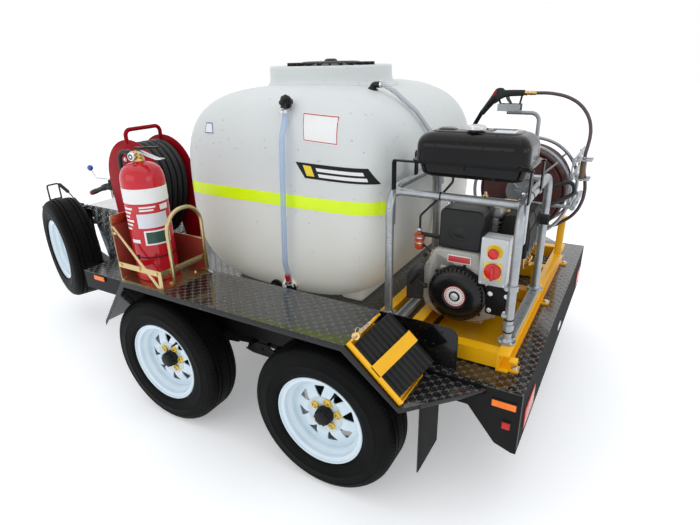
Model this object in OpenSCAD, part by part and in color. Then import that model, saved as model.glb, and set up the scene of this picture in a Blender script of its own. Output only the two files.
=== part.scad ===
// Trailer-mounted pressure washer: tandem-axle trailer, water tank,
// diesel pump skid, hose reel, fill hose on its hanger, extinguisher and wheel chocks.
// Millimetres. +X runs to the rear of the trailer, +Y to its right, +Z up, ground at z = 0.

/* [Deck] */
// Length of the deck from its front edge to its rear edge
deck_l = 2451; // [2400:1:2500]
// Width of the deck
deck_w = 1690; // [1680:2:1700]
// Height of the deck's top face above the ground
deck_z = 568; // [566:1:572]
// Distance of the deck's rear edge behind the rear axle
deck_rear = 721; // [715:1:730]

/* [Wheels] */
// Outside diameter of a tyre
tyre_d = 650; // [640:2:656]
// Section width of a tyre
tyre_w = 188; // [180:2:190]
// Distance between the two axles
axle_gap = 889; // [860:1:900]
// Distance of a wheel's centre plane from the trailer's centre plane
track_y = 974; // [970:1:978]

/* [Mudguards] */
// Distance of a guard's outer edge from the trailer's centre plane
guard_y = 1095; // [1085:1:1100]
// Height of a guard's top face above the ground
guard_z = 740; // [730:1:750]

/* [Drawbar] */
// Distance of the drawbar's nose in front of the rear axle
nose_x = 3480; // [3450:1:3500]
// Inside diameter of the coupling's ball socket
ball_d = 50.8; // [50:0.1:51]

/* [Tank] */
// Length of the water tank along the trailer
tank_l = 1180; // [1160:2:1190]
// Width of the water tank
tank_w = 1280; // [1240:2:1290]
// Height of the water tank's body
tank_h = 980; // [960:2:990]
// Thickness of the tank's wall
tank_wall = 9; // [6:1:12]
// Outside diameter of the moulded collar round the manhole
collar_d = 628; // [600:2:640]

/* [Hose hanger] */
// Width of a hanger plate, which is also the diameter of its round top
hanger_w = 444; // [430:2:446]
// Height of the hanger plates above the deck
hanger_h = 707; // [690:1:720]
// Outside diameter of the fill hose
fill_hose_d = 38; // [34:1:39]
// Turns of the fill hose on the hanger
fill_turns = 5; // [3:1:5]

/* [Extinguisher] */
// Diameter of the extinguisher's cylinder
ext_d = 186; // [180:1:188]
// Height of the extinguisher's cylinder with its dome
ext_h = 520; // [500:1:530]

/* [Pump skid] */
// Height of the skid's channels
skid_h = 75; // [70:1:78]
// Outside diameter of the cage's tube
cage_d = 34; // [32:1:36]
// Height of the cage's side rails above the ground
cage_z = 1187; // [1180:1:1195]
// Height of the engine's crank axis above the ground
crank_z = 776; // [772:1:780]
// Diameter of the recoil starter's cover
starter_d = 236; // [226:2:240]

/* [Hose reel] */
// Outside diameter of the high-pressure hose
reel_hose_d = 18; // [14:1:18]
// Turns of the high-pressure hose in the reel's outer layer
reel_turns = 10; // [6:1:10]
// Diameter over the outer layer of hose
reel_wound_d = 404; // [380:2:410]

/* [Hidden] */
$fn = 48;

// The model is drawn with x = 0 on the rear axle and moved so that its box is centred
origin_shift = (nose_x + 80 - deck_rear - 21) / 2;
black = [0.07, 0.07, 0.08];
steel_grey = [0.62, 0.64, 0.66];
white_paint = [0.93, 0.94, 0.94];
signal_yellow = [0.95, 0.68, 0.05];
signal_red = [0.78, 0.05, 0.07];

deck_front = deck_rear - deck_l;
half_w = deck_w / 2;
plate_t = 3;
rail_h = 100;
rail_w = 50;
rail_top = deck_z - plate_t;
rail_bot = rail_top - rail_h;
axle_z = tyre_d / 2;
axle_x = [-axle_gap, 0];

// ---------------------------------------------------------------- shapes used all over
module placed() translate([origin_shift, 0, 0]) children();
module box(lo, hi) translate(lo) cube(hi - lo);
function unit(v) = v / norm(v);
function arc(c, r, a0, a1, n) = [for (i = [0:n]) c + r * [cos(a0 + (a1 - a0) * i / n), sin(a0 + (a1 - a0) * i / n)]];

// Round bar between two points
module rod(a, b, r, fn = 32) {
  v = b - a;
  translate(a) rotate([0, acos(v.z / norm(v)), atan2(v.y, v.x)]) cylinder(r = r, h = norm(v), $fn = fn);
}

// Pipe through a list of points: straight runs joined by bends of radius bend_r
module pipe(p, bend_r, r) {
  n = len(p) - 1;
  turn = [for (i = [0:n]) i == 0 || i == n ? 0 : acos(unit(p[i] - p[i - 1]) * unit(p[i + 1] - p[i]))];
  cut = [for (i = [0:n]) bend_r * tan(turn[i] / 2)];
  for (i = [0:n - 1]) {
    u = unit(p[i + 1] - p[i]);
    rod(p[i] + u * cut[i], p[i + 1] - u * cut[i + 1], r);
  }
  for (i = [1:1:n - 1]) {
    u = unit(p[i] - p[i - 1]);
    w = unit(p[i + 1] - p[i]);
    nrm = unit(cross(u, w));
    inward = cross(nrm, u);
    c = p[i] - u * cut[i] + inward * bend_r;
    multmatrix([[-inward.x, u.x, nrm.x, c.x], [-inward.y, u.y, nrm.y, c.y], [-inward.z, u.z, nrm.z, c.z]])
      rotate_extrude(angle = turn[i], $fn = 64) translate([bend_r, 0]) circle(r = r, $fn = 32);
  }
}

// Flat rectangle with round corners, centred on the origin
module rrect(w, h, r) {
  polygon(concat(arc([w / 2 - r, h / 2 - r], r, 0, 90, 5), arc([-w / 2 + r, h / 2 - r], r, 90, 180, 5),
                 arc([-w / 2 + r, -h / 2 + r], r, 180, 270, 5), arc([w / 2 - r, -h / 2 + r], r, 270, 360, 5)));
}

// A flat outline drawn in X and Z, given a thickness along Y from y0 to y1
module upright(y0, y1) translate([0, y1, 0]) rotate([90, 0, 0]) linear_extrude(y1 - y0) children();

// Sheet of thickness t that follows a line of points, drawn in X and Z
module folded(points, t) {
  n = len(points) - 1;
  polygon(concat(points, [for (i = [n:-1:0]) points[i] - [0, t]]));
}

// Hexagon-headed bolt, standing on the plane z = 0 of its own frame
module bolt(r = 7, h = 6) cylinder(r = r, h = h, $fn = 6);

// Points of a line whose corners are rounded to radius bend_r with n steps in each
function corner(a, b, c, bend_r, n) =
  let (u = unit(b - a), w = unit(c - b), turn = acos(u * w), nrm = unit(cross(u, w)), inward = cross(nrm, u),
       start = b - u * bend_r * tan(turn / 2), m = start + inward * bend_r)
  [for (i = [0:n]) m - inward * bend_r * cos(turn * i / n) + u * bend_r * sin(turn * i / n)];
function bent(p, bend_r, n = 4) =
  concat([p[0]], [for (i = [1:1:len(p) - 2]) for (q = corner(p[i - 1], p[i], p[i + 1], bend_r, n)) q], [p[len(p) - 1]]);
// Turns the first section's side vector along the route, so that the tube doesn't twist
function carried(s, t) = unit(s - (s * t) * t);
function tangents(p) = [for (i = [0:len(p) - 1]) unit(p[min(i + 1, len(p) - 1)] - p[max(i - 1, 0)])];
function sides_along(t, s, i = 0) = i == len(t) ? [] :
  let (c = carried(s, t[i])) concat([c], sides_along(t, c, i + 1));
module tube(p, r, sides, first_side) {
  n = len(p);
  t = tangents(p);
  s = sides_along(t, first_side);
  pts = [for (i = [0:n - 1]) for (k = [0:sides - 1])
         p[i] + r * (cos(360 * k / sides) * s[i] + sin(360 * k / sides) * cross(s[i], t[i]))];
  walls = [for (i = [0:n - 2]) for (k = [0:sides - 1])
           let (a = i * sides + k, b = i * sides + (k + 1) % sides)
           for (f = [[a, b, b + sides], [a, b + sides, a + sides]]) f];
  first = [for (k = [1:sides - 2]) [0, k + 1, k]];
  last = [for (k = [1:sides - 2]) [(n - 1) * sides, (n - 1) * sides + k, (n - 1) * sides + k + 1]];
  polyhedron(points = pts, faces = concat(walls, first, last));
}

// ---------------------------------------------------------------- chassis
arm_angle = atan2(614, 1980);
arm_l = norm([1980, 614]);
arm_dir = [cos(arm_angle), sin(arm_angle), 0];
arm_out = [-sin(arm_angle), cos(arm_angle), 0];
arm_y0 = 56;
arm_bot = rail_bot - rail_h;
// The rails reach 2 mm down over the arms that they are welded to
rail_under = rail_bot - 2;

// Places its children along the left (-1) or right (+1) drawbar arm, at a distance from the nose
module on_arm(side, along) {
  mirror([0, side < 0 ? 1 : 0, 0])
    translate([-nose_x, arm_y0, 0] + arm_dir * along) rotate([0, 0, arm_angle]) children();
}

spare_along = 1300;
spare_z = 527;
spare_off = 130;

module chassis_frame() placed() color(black) {
  for (s = [-1, 1]) {
    box([deck_front, s * half_w - (s > 0 ? rail_w : 0), rail_under], [deck_rear, s * half_w + (s < 0 ? rail_w : 0), rail_top]);
    on_arm(s, 0) box([0, -rail_w / 2, arm_bot], [arm_l, rail_w / 2, rail_bot]);
  }
  for (x = [deck_front, -1290, -700, -190, 300, deck_rear - rail_w])
    box([x, -half_w + rail_w, x == deck_front || x > 600 ? rail_under : rail_top - 75], [x + rail_w, half_w - rail_w, rail_top]);
  // Rear panel below the deck, with its light bar recess
  difference() {
    upright(-half_w, half_w) polygon([[640, 330], [deck_rear - 18, 308], [deck_rear, 308], [deck_rear, rail_bot], [530, rail_bot]]);
    box([500, -half_w + 4, 300], [deck_rear - 5, half_w - 4, rail_bot - 4]);
  }
  // Nose plate between the arms, and the jockey wheel's clamp plate
  translate([0, 0, rail_bot - 40]) linear_extrude(10)
    polygon([[-nose_x, -arm_y0], [-nose_x, arm_y0], [-nose_x + 520, arm_y0 + 161], [-nose_x + 520, -arm_y0 - 161]]);
  on_arm(1, 560) box([-45, rail_w / 2 - 8, arm_bot + 5], [45, rail_w / 2 + 12, rail_bot + 40]);
  // Spare wheel carrier: post on the left arm, stub with its flange, and a brace to the toolbox
  on_arm(-1, spare_along) {
    box([-24, -24, rail_bot - 30], [24, 24, 785]);
    translate([0, 10, spare_z]) rotate([-90, 0, 0]) cylinder(r = 40, h = spare_off + 12 - 10);
    translate([0, spare_off + 9, spare_z]) rotate([-90, 0, 0]) cylinder(r = 70, h = 6);
  }
  box([-2240, -466, 732], [-2085, -416, 778]);
  // Safety chain lugs
  for (s = [-1, 1]) difference() {
    box([-3300, s * 105 - 5, arm_bot - 45], [-3240, s * 105 + 5, arm_bot + 1]);
    translate([-3270, s * 105 - 8, arm_bot - 22]) rotate([-90, 0, 0]) cylinder(r = 8, h = 16);
  }
}

module deck_plate() placed() color([0.13, 0.13, 0.14]) {
  box([deck_front, -half_w, rail_top], [deck_rear, half_w, deck_z]);
  // Turned-down tread-plate lip along the rear edge
  box([deck_rear, -half_w, 335], [deck_rear + 3, half_w, deck_z]);
}

// One tandem guard, drawn for the right side: sheet over the wheels, wall, gusset and flap
module guard(s) mirror([0, s < 0 ? 1 : 0, 0]) {
  outer = [[-1219, 486], [-1029, guard_z], [149, guard_z], [360, 552]];
  upright(half_w + 1, guard_y) folded(outer, plate_t);
  upright(800, half_w + 1) folded([[-1029, guard_z], [149, guard_z]], plate_t);
  upright(guard_y - 3, guard_y) polygon([[-1219, 486], [-1029, guard_z], [149, guard_z], [360, 552],
                                         [360, 534], [137, guard_z - 26], [-1016, guard_z - 26], [-1222, 462]]);
  // Inner wall with its rounded rear corner, standing on the deck
  upright(800, 803) polygon(concat([[-1029, deck_z], [-1029, guard_z]], arc([426, guard_z - 40], 40, 90, 0, 6), [[466, deck_z]]));
  // Gusset from the rear slope in to the deck's edge
  translate([0, 0, 549]) linear_extrude(3) polygon([[357, half_w + 1], [357, guard_y], [368, guard_y], [596, half_w + 1]]);
  translate([0, 0, 534]) linear_extrude(18) polygon([[360, guard_y], [368, guard_y], [596, half_w + 1], [590, half_w + 1], [364, guard_y - 3], [360, guard_y - 3]]);
  // Rubber flap behind the rear wheel
  translate([418, 0, 252]) box([0, 848, 0], [5, guard_y - 50, 297]);
}
module mudguards() placed() color(black) for (s = [-1, 1]) guard(s);

module marker_lamps() placed() {
  for (s = [-1, 1]) {
    color("orange") {
      translate([-1590, s * (half_w + 5), 545]) rotate([90, 0, 0]) linear_extrude(10, center = true) rrect(88, 26, 12);
    }
    color("orange") translate([662, s * (half_w + 5), 510]) rotate([90, 0, 0]) linear_extrude(10, center = true) rrect(88, 26, 12);
    color("red") translate([deck_rear + 5.5, s * 700, 430]) rotate([90, 0, 90]) linear_extrude(5, center = true) rrect(180, 90, 14);
    color("red") translate([677, s * (half_w + 5), 425]) rotate([90, 0, 0]) linear_extrude(10, center = true) rrect(28, 28, 6);
  }
  color("white") translate([deck_rear + 5.5, 0, 430]) rotate([90, 0, 90]) linear_extrude(5, center = true) rrect(70, 26, 8);
}

// ---------------------------------------------------------------- axles and springs
spring_y = 805;
spring_half = 370;
eye_z = 412;
rocker_x = -axle_gap / 2;

// One leaf: a thin arc through the axle seat, cut off at half_l from the middle
module leaf(half_l, level, sag) {
  r = (spring_half * spring_half + sag * sag) / (2 * sag);
  upright(-30, 30) intersection() {
    translate([0, r + level * 8]) difference() {
      circle(r = r, $fn = 360);
      circle(r = r - 8, $fn = 360);
    }
    translate([-half_l, -60]) square([2 * half_l, 200]);
  }
}

module running_gear() placed() color([0.1, 0.1, 0.11]) {
  for (x = axle_x) {
    box([x - 22.5, -870, axle_z - 22.5], [x + 22.5, 870, axle_z + 22.5]);
    for (s = [-1, 1]) {
      // Stub axle in the hub, spring seat, leaves, clamp plate and U-bolts
      rod([x, s * 870, axle_z], [x, s * 962, axle_z], 19.9);
      translate([x, s * spring_y, axle_z + 22.5]) box([-45, -30, 0], [45, 30, 10]);
      translate([x, s * spring_y, axle_z + 32.5 + 8]) {
        leaf(spring_half - 12, 4, 24);
        leaf(290, 3, 24);
        leaf(225, 2, 24);
        leaf(160, 1, 24);
        leaf(100, 0, 24);
      }
      translate([x, s * spring_y, axle_z + 73]) box([-55, -34, 0], [55, 34, 12]);
      for (dx = [-34, 34]) for (dy = [-33, 33])
        rod([x + dx, s * spring_y + dy, axle_z + 22.5], [x + dx, s * spring_y + dy, axle_z + 97], 6, 16);
      // Spring eyes and their hangers under the side rail
      for (e = [-1, 1]) {
        translate([x + e * spring_half, s * spring_y, eye_z]) rotate([90, 0, 0]) cylinder(r = 17, h = 60, center = true);
      }
      outer = x == 0 ? spring_half : -axle_gap - spring_half;
      for (dy = [-38, 32])
        box([outer - 30, s * spring_y + dy, eye_z - 30], [outer + 30, s * spring_y + dy + 6, rail_under]);
      rod([outer, s * spring_y - 44, eye_z], [outer, s * spring_y + 44, eye_z], 9, 24);
    }
  }
  // Equaliser rockers between the two springs, on their hangers
  for (s = [-1, 1]) {
    for (dy = [-39, 33]) upright(s * spring_y + dy, s * spring_y + dy + 6)
      polygon([[rocker_x - 105, eye_z - 20], [rocker_x - 30, eye_z + 30], [rocker_x + 30, eye_z + 30], [rocker_x + 105, eye_z - 20],
               [rocker_x + 60, eye_z - 32], [rocker_x - 60, eye_z - 32]]);
    for (dy = [-31, 25]) box([rocker_x - 25, s * spring_y + dy, eye_z - 10], [rocker_x + 25, s * spring_y + dy + 6, rail_under]);
    for (dx = [-spring_half + axle_gap / 2, 0, spring_half - axle_gap / 2])
      rod([rocker_x + dx, s * spring_y - 44, eye_z], [rocker_x + dx, s * spring_y + 44, eye_z], 9, 24);
  }
}

// ---------------------------------------------------------------- wheels
// Drawn about the origin with the outboard side at +Z
module tyre_solid() {
  hr = tyre_w / 2;
  tr = tyre_d / 2;
  groove = [for (z = [hr - 42, hr - 68]) for (p = [[tr, z + 4], [tr - 8, z + 3], [tr - 8, z - 3], [tr, z - 4]]) p];
  half = concat([[178, 58], [178, 71.5], [198, 71.5], [206, hr - 7], [255, hr], [292, hr - 4], [tr - 12, hr - 16], [tr, hr - 30]], groove);
  inner = [[tr - 16, hr - 34], [255, hr - 12], [200, 58]];
  rotate_extrude($fn = 96) polygon(concat(half, [for (i = [len(half) - 1:-1:0]) [half[i].x, -half[i].y]],
    [for (i = [len(inner) - 1:-1:0]) [inner[i].x, -inner[i].y]], inner));
}

// Rounded triangle that a spoked steel wheel has pressed out between its spokes
module window() polygon(concat(arc([100, 0], 9, 120, 240, 5), arc([139, -31], 9, 240, 365, 5), arc([139, 31], 9, -5, 120, 5)));

module rim_solid() {
  difference() {
    rotate_extrude($fn = 96) polygon([[197, 80], [193, 80], [174, 74], [174, 56], [156, 38], [156, -36], [174, -52], [174, -74], [193, -80], [197, -80],
      [197, -76], [194, -72], [178, -72], [178, -50], [160, -34], [160, 36], [178, 54], [178, 72], [194, 72], [197, 76]]);
  }
  difference() {
    rotate_extrude($fn = 96) polygon([[34, 20], [70, 20], [84, 30], [96, 32], [150, 14], [158, 14], [158, 9], [148, 9], [96, 27], [86, 25], [72, 15], [34, 15]]);
    for (i = [0:7]) rotate([0, 0, i * 45 + 22.5]) linear_extrude(60) window();
  }
}

// Hub with its flange, drum and rubber cap, and five nuts on a 114.3 mm circle
module hub_solid() {
  difference() {
    union() {
      translate([0, 0, -95]) cylinder(r = 62, h = 9.8);
      translate([0, 0, -86]) cylinder(r = 33, h = 118);
      translate([0, 0, 5]) cylinder(r = 72, h = 10);
      translate([0, 0, -86]) cylinder(r = 115, h = 60);
      translate([0, 0, -26]) cylinder(r = 62, h = 31);
      rotate_extrude() polygon([[0, 32], [33, 32], [33, 60], [30, 68], [24, 72], [0, 72]]);
    }
    translate([0, 0, -96]) cylinder(r = 20, h = 88);
  }
  for (i = [0:4]) rotate([0, 0, 90 + i * 72]) translate([57.15, 0, 20]) {
    cylinder(r = 11, h = 14, $fn = 6);
    translate([0, 0, 14]) cylinder(r = 6, h = 8, $fn = 24);
  }
}

module at_wheel(axle, side) translate([axle_x[axle], side * track_y, axle_z]) rotate([-90 * side, 0, 0]) children();
module at_spare() on_arm(-1, spare_along) translate([0, spare_off, spare_z]) rotate([-90, 0, 0]) children();

module tyre_front_left() placed() color(black) at_wheel(0, -1) tyre_solid();
module tyre_front_right() placed() color(black) at_wheel(0, 1) tyre_solid();
module tyre_rear_left() placed() color(black) at_wheel(1, -1) tyre_solid();
module tyre_rear_right() placed() color(black) at_wheel(1, 1) tyre_solid();
module wheel_metal(axle, side) placed() color(white_paint) at_wheel(axle, side) {
  rim_solid();
  hub_solid();
}
module rim_front_left() wheel_metal(0, -1);
module rim_front_right() wheel_metal(0, 1);
module rim_rear_left() wheel_metal(1, -1);
module rim_rear_right() wheel_metal(1, 1);
module spare_tyre() placed() color(black) at_spare() tyre_solid();
module spare_rim() placed() color(white_paint) at_spare() {
  rim_solid();
  for (i = [0:4]) rotate([0, 0, 90 + i * 72]) translate([57.15, 0, 20]) cylinder(r = 11, h = 14, $fn = 6);
}

// ---------------------------------------------------------------- coupling and jockey wheel
module coupling() placed() color(steel_grey) {
  difference() {
    union() {
      box([-nose_x - 10, -60, rail_bot], [-nose_x + 210, 60, rail_bot + 12]);
      box([-nose_x + 20, -26, rail_bot + 12], [-nose_x + 190, 26, rail_bot + 62]);
      translate([-nose_x - 40, 0, rail_bot - 34]) cylinder(r = 40, h = 84);
      box([-nose_x - 40, -31, rail_bot - 6], [-nose_x + 30, 31, rail_bot + 50]);
    }
    translate([-nose_x - 40, 0, rail_bot - 12]) sphere(d = ball_d, $fn = 64);
    translate([-nose_x - 40, 0, rail_bot - 40]) cylinder(d = ball_d, h = 28, $fn = 64);
    translate([-nose_x + 90, -16, rail_bot + 12]) cube([78, 32, 60]);
  }
  // Pin of the latch, and the coupling's bolts
  rod([-nose_x + 125, -26, rail_bot + 40], [-nose_x + 125, 26, rail_bot + 40], 5.95);
  for (x = [-nose_x + 50, -nose_x + 195]) for (y = [-46, 46]) translate([x, y, rail_bot + 12]) bolt(9, 8);
  // Pivot ears of the brake lever
  for (s = [-1, 1]) difference() {
    upright(s > 0 ? 26 : -34, s > 0 ? 34 : -26)
      polygon([[-nose_x + 400, rail_bot - 22], [-nose_x + 400, 590], [-nose_x + 460, 590], [-nose_x + 460, rail_bot - 22]]);
    translate([-nose_x + 430, -40, 560]) rotate([-90, 0, 0]) cylinder(r = 8.05, h = 80);
  }
  box([-nose_x + 370, -90, rail_bot - 30], [-nose_x + 490, 90, rail_bot - 20]);
}

module coupling_latch() placed() color(black) {
  // Trigger blade on a pin in the coupling's slot, with its loop handle
  x0 = -nose_x + 125;
  z0 = rail_bot + 40;
  difference() {
    upright(-8, 8) polygon([[x0 - 14, z0 - 20], [x0 + 14, z0 - 20], [x0 + 17, z0], [x0 + 13, z0 + 100], [x0 - 13, z0 + 100], [x0 - 17, z0]]);
    translate([x0, -20, z0]) rotate([-90, 0, 0]) cylinder(r = 6, h = 40);
  }
  rod([x0, -50, z0 + 90], [x0, 50, z0 + 90], 9);
  pipe([[x0, -50, z0 + 90], [x0, -50, 722], [x0, 50, 722], [x0, 50, z0 + 90]], 16, 7);
}

module brake_lever() placed() color(black) {
  x0 = -nose_x + 430;
  rod([x0, -38, 560], [x0, 38, 560], 8);
  upright(-6, 6) polygon([[x0 - 22, 540], [x0 + 22, 540], [x0 + 20, 600], [x0 - 30, 640], [x0 - 44, 622], [x0 - 12, 590]]);
  rod([x0 - 36, 0, 629], [x0 - 100, 0, 680], 5);
  rod([x0 - 100, 0, 680], [x0 - 205, 0, 735], 12);
}

jockey_along = 560;
jockey_off = 75;
jockey_leg_r = 24;
module at_jockey() on_arm(1, jockey_along) translate([0, jockey_off, 0]) children();

module jockey_tube() placed() color(steel_grey) at_jockey() {
  difference() {
    translate([0, 0, 372]) cylinder(r = 28.5, h = 328);
    translate([0, 0, 371]) cylinder(r = jockey_leg_r + 0.3, h = 308);
    translate([0, 0, 600]) cylinder(r = 6.1, h = 120);
  }
  // Swivel boss with its spring pin handle
  difference() {
    translate([0, -jockey_off + 37.3, 415]) rotate([-90, 0, 0]) cylinder(r = 36, h = jockey_off - 37.3 - 10);
    translate([0, 0, 299]) cylinder(r = 28.5, h = 380);
  }
  translate([-90, 0, 470]) rotate([0, 90, 0]) cylinder(r = 8, h = 64);
}

module jockey_leg() placed() color(steel_grey) at_jockey() {
  difference() {
    translate([0, 0, 225]) cylinder(r = jockey_leg_r, h = 315);
    translate([0, 0, 270]) cylinder(r = 7, h = 300);
  }
  // Fork over the wheel, with the axle pin
  box([-30, -42, 217], [30, 42, 225]);
  for (s = [-1, 1]) upright(s > 0 ? 36 : -42, s > 0 ? 42 : -36) polygon([[-30, 225], [30, 225], [16, 90], [-16, 90]]);
  rod([0, -46, 112], [0, 46, 112], 7.95, 32);
}

module jockey_wheel() placed() color(black) at_jockey() translate([0, 0, 112]) rotate([90, 0, 0])
  rotate_extrude($fn = 72) polygon([[8, -34], [26, -34], [30, -14], [70, -14], [72, -27], [92, -28], [99, -18], [100, 0], [99, 18],
                                    [92, 28], [72, 27], [70, 14], [30, 14], [26, 34], [8, 34]]);

module jockey_crank() placed() color(steel_grey) at_jockey() {
  // Screw spindle down the tube, cap, arm and knob
  translate([0, 0, 420]) cylinder(r = 6, h = 282);
  translate([0, 0, 700.4]) cylinder(r = 30, h = 14);
  box([-10, -10, 714.4], [10, 105, 722]);
  translate([0, 92, 722]) cylinder(r = 11, h = 62);
}

// ---------------------------------------------------------------- toolbox
box_x = [-2085, -1745];
box_y = 500;
box_z = [rail_bot, 822];
module toolbox() placed() color([0.7, 0.72, 0.74]) {
  difference() {
    upright(-box_y, box_y) polygon([[box_x[0] + 85, box_z[0]], [box_x[0], box_z[1] - 24], [box_x[0], box_z[1]], [box_x[1], box_z[1]], [box_x[1], box_z[0]]]);
    upright(-box_y + 4, box_y - 4) polygon([[box_x[0] + 89, box_z[0] + 4], [box_x[0] + 4, box_z[1] - 24], [box_x[0] + 4, box_z[1] + 4],
                                            [box_x[1] - 4, box_z[1] + 4], [box_x[1] - 4, box_z[0] + 4]]);
  }
  // Hinge knuckles along the rear edge
  for (y = [-380, 0, 380]) translate([box_x[1] - 6.5, y - 30, box_z[1] + 9]) rotate([-90, 0, 0]) cylinder(r = 6, h = 26);
  for (y = [-380, 0, 380]) box([box_x[1] - 10, y - 30, box_z[1] - 10], [box_x[1] - 3, y - 4, box_z[1] + 5]);
}
module toolbox_lid() placed() color([0.7, 0.72, 0.74]) {
  box([box_x[0] - 9, -box_y - 9, box_z[1] + 0.5], [box_x[1] - 14, box_y + 9, box_z[1] + 3.5]);
  box([box_x[0] - 9, -box_y - 9, box_z[1] - 24], [box_x[0] - 6, box_y + 9, box_z[1] + 0.5]);
  for (s = [-1, 1]) box([box_x[0] - 9, s * (box_y + 7.5) - 1.5, box_z[1] - 24], [box_x[1] - 14, s * (box_y + 7.5) + 1.5, box_z[1] + 0.5]);
  for (y = [-350, 30, 410]) translate([box_x[1] - 6.5, y - 30, box_z[1] + 9]) rotate([-90, 0, 0]) cylinder(r = 6, h = 26);
  for (y = [-350, 30, 410]) box([box_x[1] - 16, y - 30, box_z[1] + 0.5], [box_x[1] - 9, y - 4, box_z[1] + 5]);
}

// ---------------------------------------------------------------- water tank
tank_c = [-504, 0, deck_z + 4 + tank_h / 2];
round_xz = 3.1;
round_y = 7;
neck_c = [-542, 0];
// Signed power, for rounded-square outlines
function spow(v, e) = sign(v) * pow(abs(v), 2 / e);
function tank_point(h, lon, lat) = [
  tank_c.x + h.x * spow(cos(lat), round_y) * spow(cos(lon), round_xz),
  h.y * spow(sin(lat), round_y),
  tank_c.z + h.z * spow(cos(lat), round_y) * spow(sin(lon), round_xz)];
// Rounded barrel that lies across the trailer: rings along Y, closed by a point at each end
module barrel(h, n_lon = 32, n_lat = 16) {
  pts = concat([[tank_c.x, -h.y, tank_c.z], [tank_c.x, h.y, tank_c.z]],
    [for (j = [1:n_lat - 1]) for (i = [0:n_lon - 1]) tank_point(h, 360 * i / n_lon, -90 + 180 * j / n_lat)]);
  function v(j, i) = 2 + (j - 1) * n_lon + i % n_lon;
  faces = concat([for (i = [0:n_lon - 1]) [0, v(1, i + 1), v(1, i)]],
    [for (j = [1:n_lat - 2]) for (i = [0:n_lon - 1])
       for (f = [[v(j, i), v(j + 1, i + 1), v(j + 1, i)], [v(j, i), v(j, i + 1), v(j + 1, i + 1)]]) f],
    [for (i = [0:n_lon - 1]) [1, v(n_lat - 1, i), v(n_lat - 1, i + 1)]]);
  polyhedron(points = pts, faces = faces);
}

sight_x = [-406, -376];
sight_y = [-650, -640];
sight_z = [655, 1500];
breather = [-190, -215, 1548];
drain = [-500, 640];
module water_tank() placed() color([0.9, 0.9, 0.87]) difference() {
  half = [tank_l / 2, tank_w / 2, tank_h / 2];
  union() {
    barrel(half);
    translate([neck_c.x, neck_c.y, 1500]) cylinder(d = collar_d, h = 131, $fn = 96);
    // Moulded feet
    for (x = [-330, 330]) translate([tank_c.x + x, 0, deck_z]) box([-60, -470, 0], [60, 470, 60]);
  }
  barrel(half - [tank_wall, tank_wall, tank_wall]);
  // Well inside the collar, with the manhole's neck standing in it
  difference() {
    translate([neck_c.x, neck_c.y, 1560]) cylinder(d = collar_d - 60, h = 80, $fn = 96);
    translate([neck_c.x, neck_c.y, 1555]) cylinder(d = 440, h = 45, $fn = 96);
  }
  translate([neck_c.x, neck_c.y, 1400]) cylinder(d = 400, h = 240, $fn = 96);
  // Holes of the sight tube's elbows, the drain, the breather and the filling spout
  for (i = [0, 1]) rod([sight_x[i], -700, sight_z[i]], [sight_x[i], -420, sight_z[i]], 15.3);
  rod([drain[0], -700, drain[1]], [drain[0], -420, drain[1]], 21.3);
  rod([breather.x, breather.y, 1380], [breather.x, breather.y, 1600], 16.3);
}

module tank_lid() placed() color(black) translate([neck_c.x, neck_c.y, 0]) {
  difference() {
    rotate_extrude($fn = 96) polygon([[0, 1600.4], [221, 1600.4], [221, 1568], [232, 1568], [232, 1618], [226, 1626], [190, 1634], [150, 1650], [0, 1650]]);
  }
  for (i = [0:11]) rotate([0, 0, i * 30]) box([150, -5, 1628], [222, 5, 1640]);
  translate([0, 0, 1650]) cylinder(r = 34, h = 10);
}

module clear_hoses() placed() color([0.6, 0.75, 0.88]) {
  // Sight tube between the two elbows, bowed out over the tank's left face
  tube(bent([[sight_x[1], sight_y[1], sight_z[1] - 26.3], [sight_x[1], sight_y[1], sight_z[1] - 58],
             [sight_x[1], -676, sight_z[1] - 140], [sight_x[0], -676, sight_z[0] + 140],
             [sight_x[0], sight_y[0], sight_z[0] + 58], [sight_x[0], sight_y[0], sight_z[0] + 26.3]], 120), 12.5, 8, [1, 0, 0]);
  // Breather hose from its elbow, over the tank's shoulder and down behind it
  tube(bent([[breather.x + 38.3, breather.y, breather.z], [breather.x + 58, breather.y, breather.z], [-80, -212, 1520],
             [20, -190, 1434], [75, -150, 1345], [106, -75, 1250], [110, -60, 1090]], 60), 11, 8, [0, 1, 0]);
}

module tank_fittings() placed() color(black) {
  // Elbows of the sight tube, each through the tank's wall
  for (i = [0, 1]) {
    up = i == 0 ? 1 : -1;
    rod([sight_x[i], sight_y[i], sight_z[i] - up * 20], [sight_x[i], sight_y[i], sight_z[i] + up * 26], 18);
    rod([sight_x[i], sight_y[i], sight_z[i]], [sight_x[i], -560, sight_z[i]], 15);
    rod([sight_x[i], sight_y[i] - 8, sight_z[i]], [sight_x[i], sight_y[i] - 28, sight_z[i]], 11, 6);
  }
  // Breather elbow, and the drain stub with its hose spigot
  rod([breather.x, breather.y, 1480], [breather.x, breather.y, breather.z + 20], 16);
  rod([breather.x, breather.y, breather.z], [breather.x + 38, breather.y, breather.z], 13);
  rod([drain[0], -560, drain[1]], [drain[0], -652, drain[1]], 21);
  rod([drain[0], -652, drain[1]], [drain[0], -690, drain[1]], 19);
}

// ---------------------------------------------------------------- fill hose on its hanger
hanger_x = -1510;
hanger_y = [-564, -326];
hanger_r = hanger_w / 2;
hanger_c = deck_z + hanger_h - hanger_r;
saddle_r = hanger_r - fill_hose_d - 22;

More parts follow.
